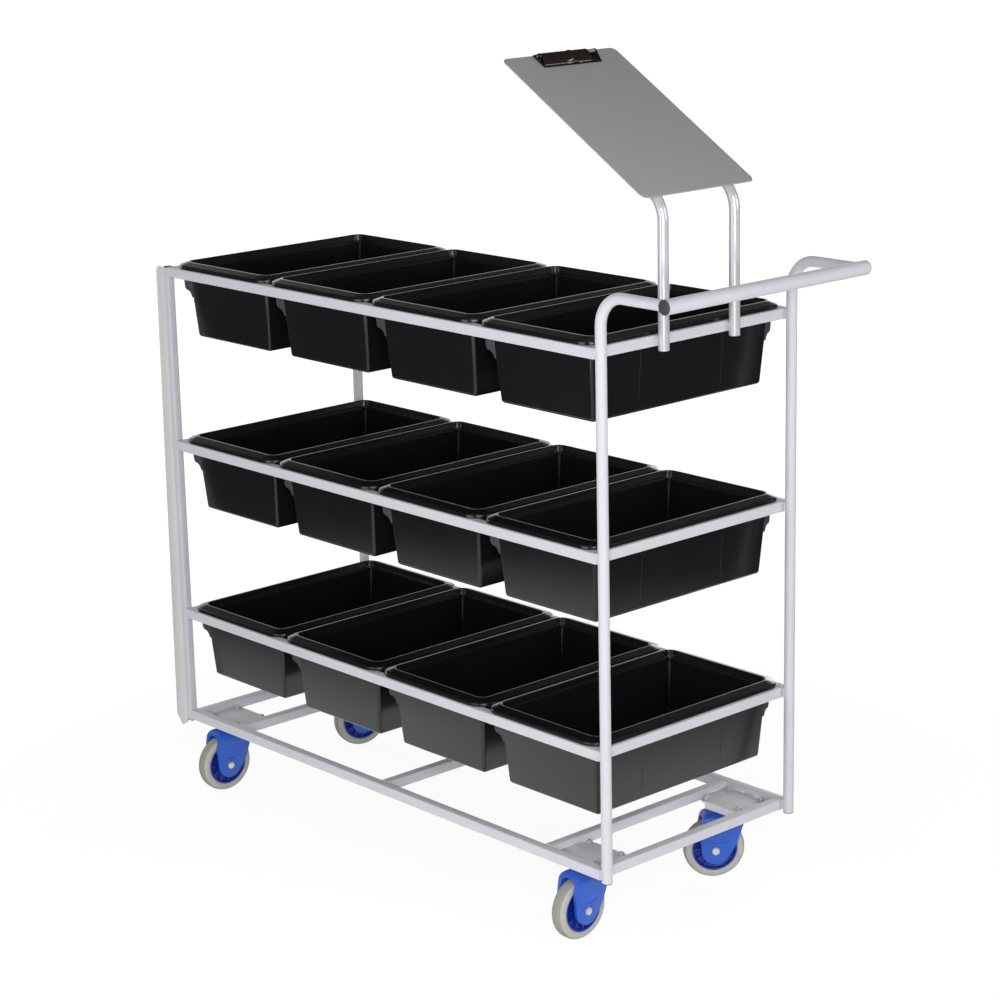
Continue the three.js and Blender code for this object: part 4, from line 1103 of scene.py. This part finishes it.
# The strip of bright paper that gloss sees fades out beside the cart.
across = add_node(tree, "ShaderNodeVectorMath", {0: place, 1: view_right}, operation="DOT_PRODUCT")
beside = add_node(tree, "ShaderNodeMath", {0: across.outputs["Value"]}, operation="ABSOLUTE")
strip = add_node(tree, "ShaderNodeMapRange", {"Value": beside.outputs[0], "From Min": 0.9,
                 "From Max": 2.05, "To Min": 1.15, "To Max": 0.06})
gleam = add_node(tree, "ShaderNodeMath", {0: rays["Is Glossy Ray"], 1: strip.outputs["Result"]},
                 operation="MULTIPLY")
strength = add_node(tree, "ShaderNodeMath", {0: straight, 1: 1.08, 2: gleam.outputs[0]},
                    operation="MULTIPLY_ADD")
glow = add_node(tree, "ShaderNodeEmission", {"Color": (1, 1, 1, 1), "Strength": strength.outputs[0]})
# The camera sees mostly white under the cart, with some of the shadow left in it, and pure
# white further out.
away = add_node(tree, "ShaderNodeVectorMath", {0: place}, operation="LENGTH")
cover = add_node(tree, "ShaderNodeMapRange", {"Value": away.outputs["Value"], "From Min": 1.4,
                 "From Max": 3.4, "To Min": 0.84, "To Max": 1})
shown = add_node(tree, "ShaderNodeMath", {0: straight, 1: cover.outputs["Result"]},
                 operation="MULTIPLY")
share = add_node(tree, "ShaderNodeMath", {0: shown.outputs[0], 1: rays["Is Glossy Ray"]},
                 operation="MAXIMUM")
mixed = add_node(tree, "ShaderNodeMixShader", {0: share.outputs[0], 1: shader.outputs[0],
                 2: glow.outputs[0]})
tree.links.new(mixed.outputs[0], tree.nodes["Material Output"].inputs["Surface"])
floor.data.materials.append(paper)

world = bpy.data.worlds.new("studio")
bpy.context.scene.world = world
world.use_nodes = True
tree = world.node_tree
rays, straight = straight_rays(tree)
# Behind the cart the paper hangs from the floor up, as a bright band that only gloss sees.
way = add_node(tree, "ShaderNodeTexCoord").outputs["Generated"]
behind = add_node(tree, "ShaderNodeVectorMath", {0: way, 1: view_ahead}, operation="DOT_PRODUCT")
wide = add_node(tree, "ShaderNodeMapRange", {"Value": behind.outputs["Value"], "From Min": 0.7,
                "From Max": 0.9})
height = add_node(tree, "ShaderNodeSeparateXYZ", {0: way}).outputs["Z"]
low_part = add_node(tree, "ShaderNodeMapRange", {"Value": height, "From Min": 0.3, "From Max": 0.5,
                    "To Min": 1, "To Max": 0})
hung = add_node(tree, "ShaderNodeMath", {0: wide.outputs["Result"], 1: low_part.outputs["Result"]},
                operation="MULTIPLY")
backdrop = add_node(tree, "ShaderNodeMath", {0: hung.outputs[0], 1: 1.2, 2: 0.06},
                    operation="MULTIPLY_ADD")
soft = add_node(tree, "ShaderNodeMath", {0: rays["Is Diffuse Ray"], 1: 0.26}, operation="MULTIPLY")
gleam = add_node(tree, "ShaderNodeMath", {0: rays["Is Glossy Ray"], 1: backdrop.outputs[0],
                 2: soft.outputs[0]}, operation="MULTIPLY_ADD")
level = add_node(tree, "ShaderNodeMath", {0: gleam.outputs[0], 1: straight}, operation="MAXIMUM")
set_inputs(tree, tree.nodes["Background"], {"Color": (1, 1, 1, 1), "Strength": level.outputs[0]})


def add_lamp(name, place, target, size, power):
    """A soft square lamp that faces a point."""
    lamp = bpy.data.lights.new(name, "AREA")
    lamp.shape, lamp.size, lamp.energy = "SQUARE", size, power
    holder = bpy.data.objects.new(name, lamp)
    holder.location = place
    holder.rotation_euler = (Vector(target) - Vector(place)).to_track_quat("-Z", "Y").to_euler()
    bpy.context.scene.collection.objects.link(holder)


add_lamp("key", (3.5, -2.7, 1.85), (0.5, 0, 0.9), 2.2, 96)
add_lamp("right", (4.2, 1.2, 2.4), (0, 0, 1), 2.2, 41)
add_lamp("front_low", (0.2, -2.7, 1.1), (0.1, 0, 0.95), 1.6, 21)
add_lamp("overhead", (0.3, -0.5, 4.2), (0, 0, 0), 0.35, 4.5)
add_lamp("back", (-1.2, 4, 1.5), (-0.2, 0, 0.8), 2, 34)
add_lamp("far_end", (-4, -0.4, 1.5), (-0.6, 0, 0.8), 2, 26)

# The camera stands where the photograph was taken from: a pinhole with its focal length and its
# centre in pixels, and three angles in radians.
picture, focal, centre_px = 1000, 2642.5, (498.6, 500.9)
yaw, pitch, roll = 2.4084, 0.2582, -0.0223
stand = Vector((handle_end, centre_y, 0)) + Vector((4002.98, -4206.90, 2549.13)) * mm
camera_data = bpy.data.cameras.new("camera")
camera = bpy.data.objects.new("camera", camera_data)
bpy.context.scene.collection.objects.link(camera)
bpy.context.scene.camera = camera
camera_data.sensor_fit = "HORIZONTAL"
camera_data.sensor_width = 36
camera_data.lens = camera_data.sensor_width * focal / picture
camera_data.shift_x = (picture / 2 - centre_px[0]) / picture
camera_data.shift_y = (centre_px[1] - picture / 2) / picture
camera_data.clip_end = 100
forward = Vector((math.cos(yaw) * math.cos(pitch), math.sin(yaw) * math.cos(pitch), -math.sin(pitch)))
level_right = Vector((math.sin(yaw), -math.cos(yaw), 0))
level_up = level_right.cross(forward)
right = math.cos(roll) * level_right + math.sin(roll) * level_up
up = math.cos(roll) * level_up - math.sin(roll) * level_right
camera.matrix_world = Matrix((
    (right.x, up.x, -forward.x, stand.x),
    (right.y, up.y, -forward.y, stand.y),
    (right.z, up.z, -forward.z, stand.z),
    (0, 0, 0, 1)))

view = bpy.context.scene.view_settings
view.view_transform = "Standard"
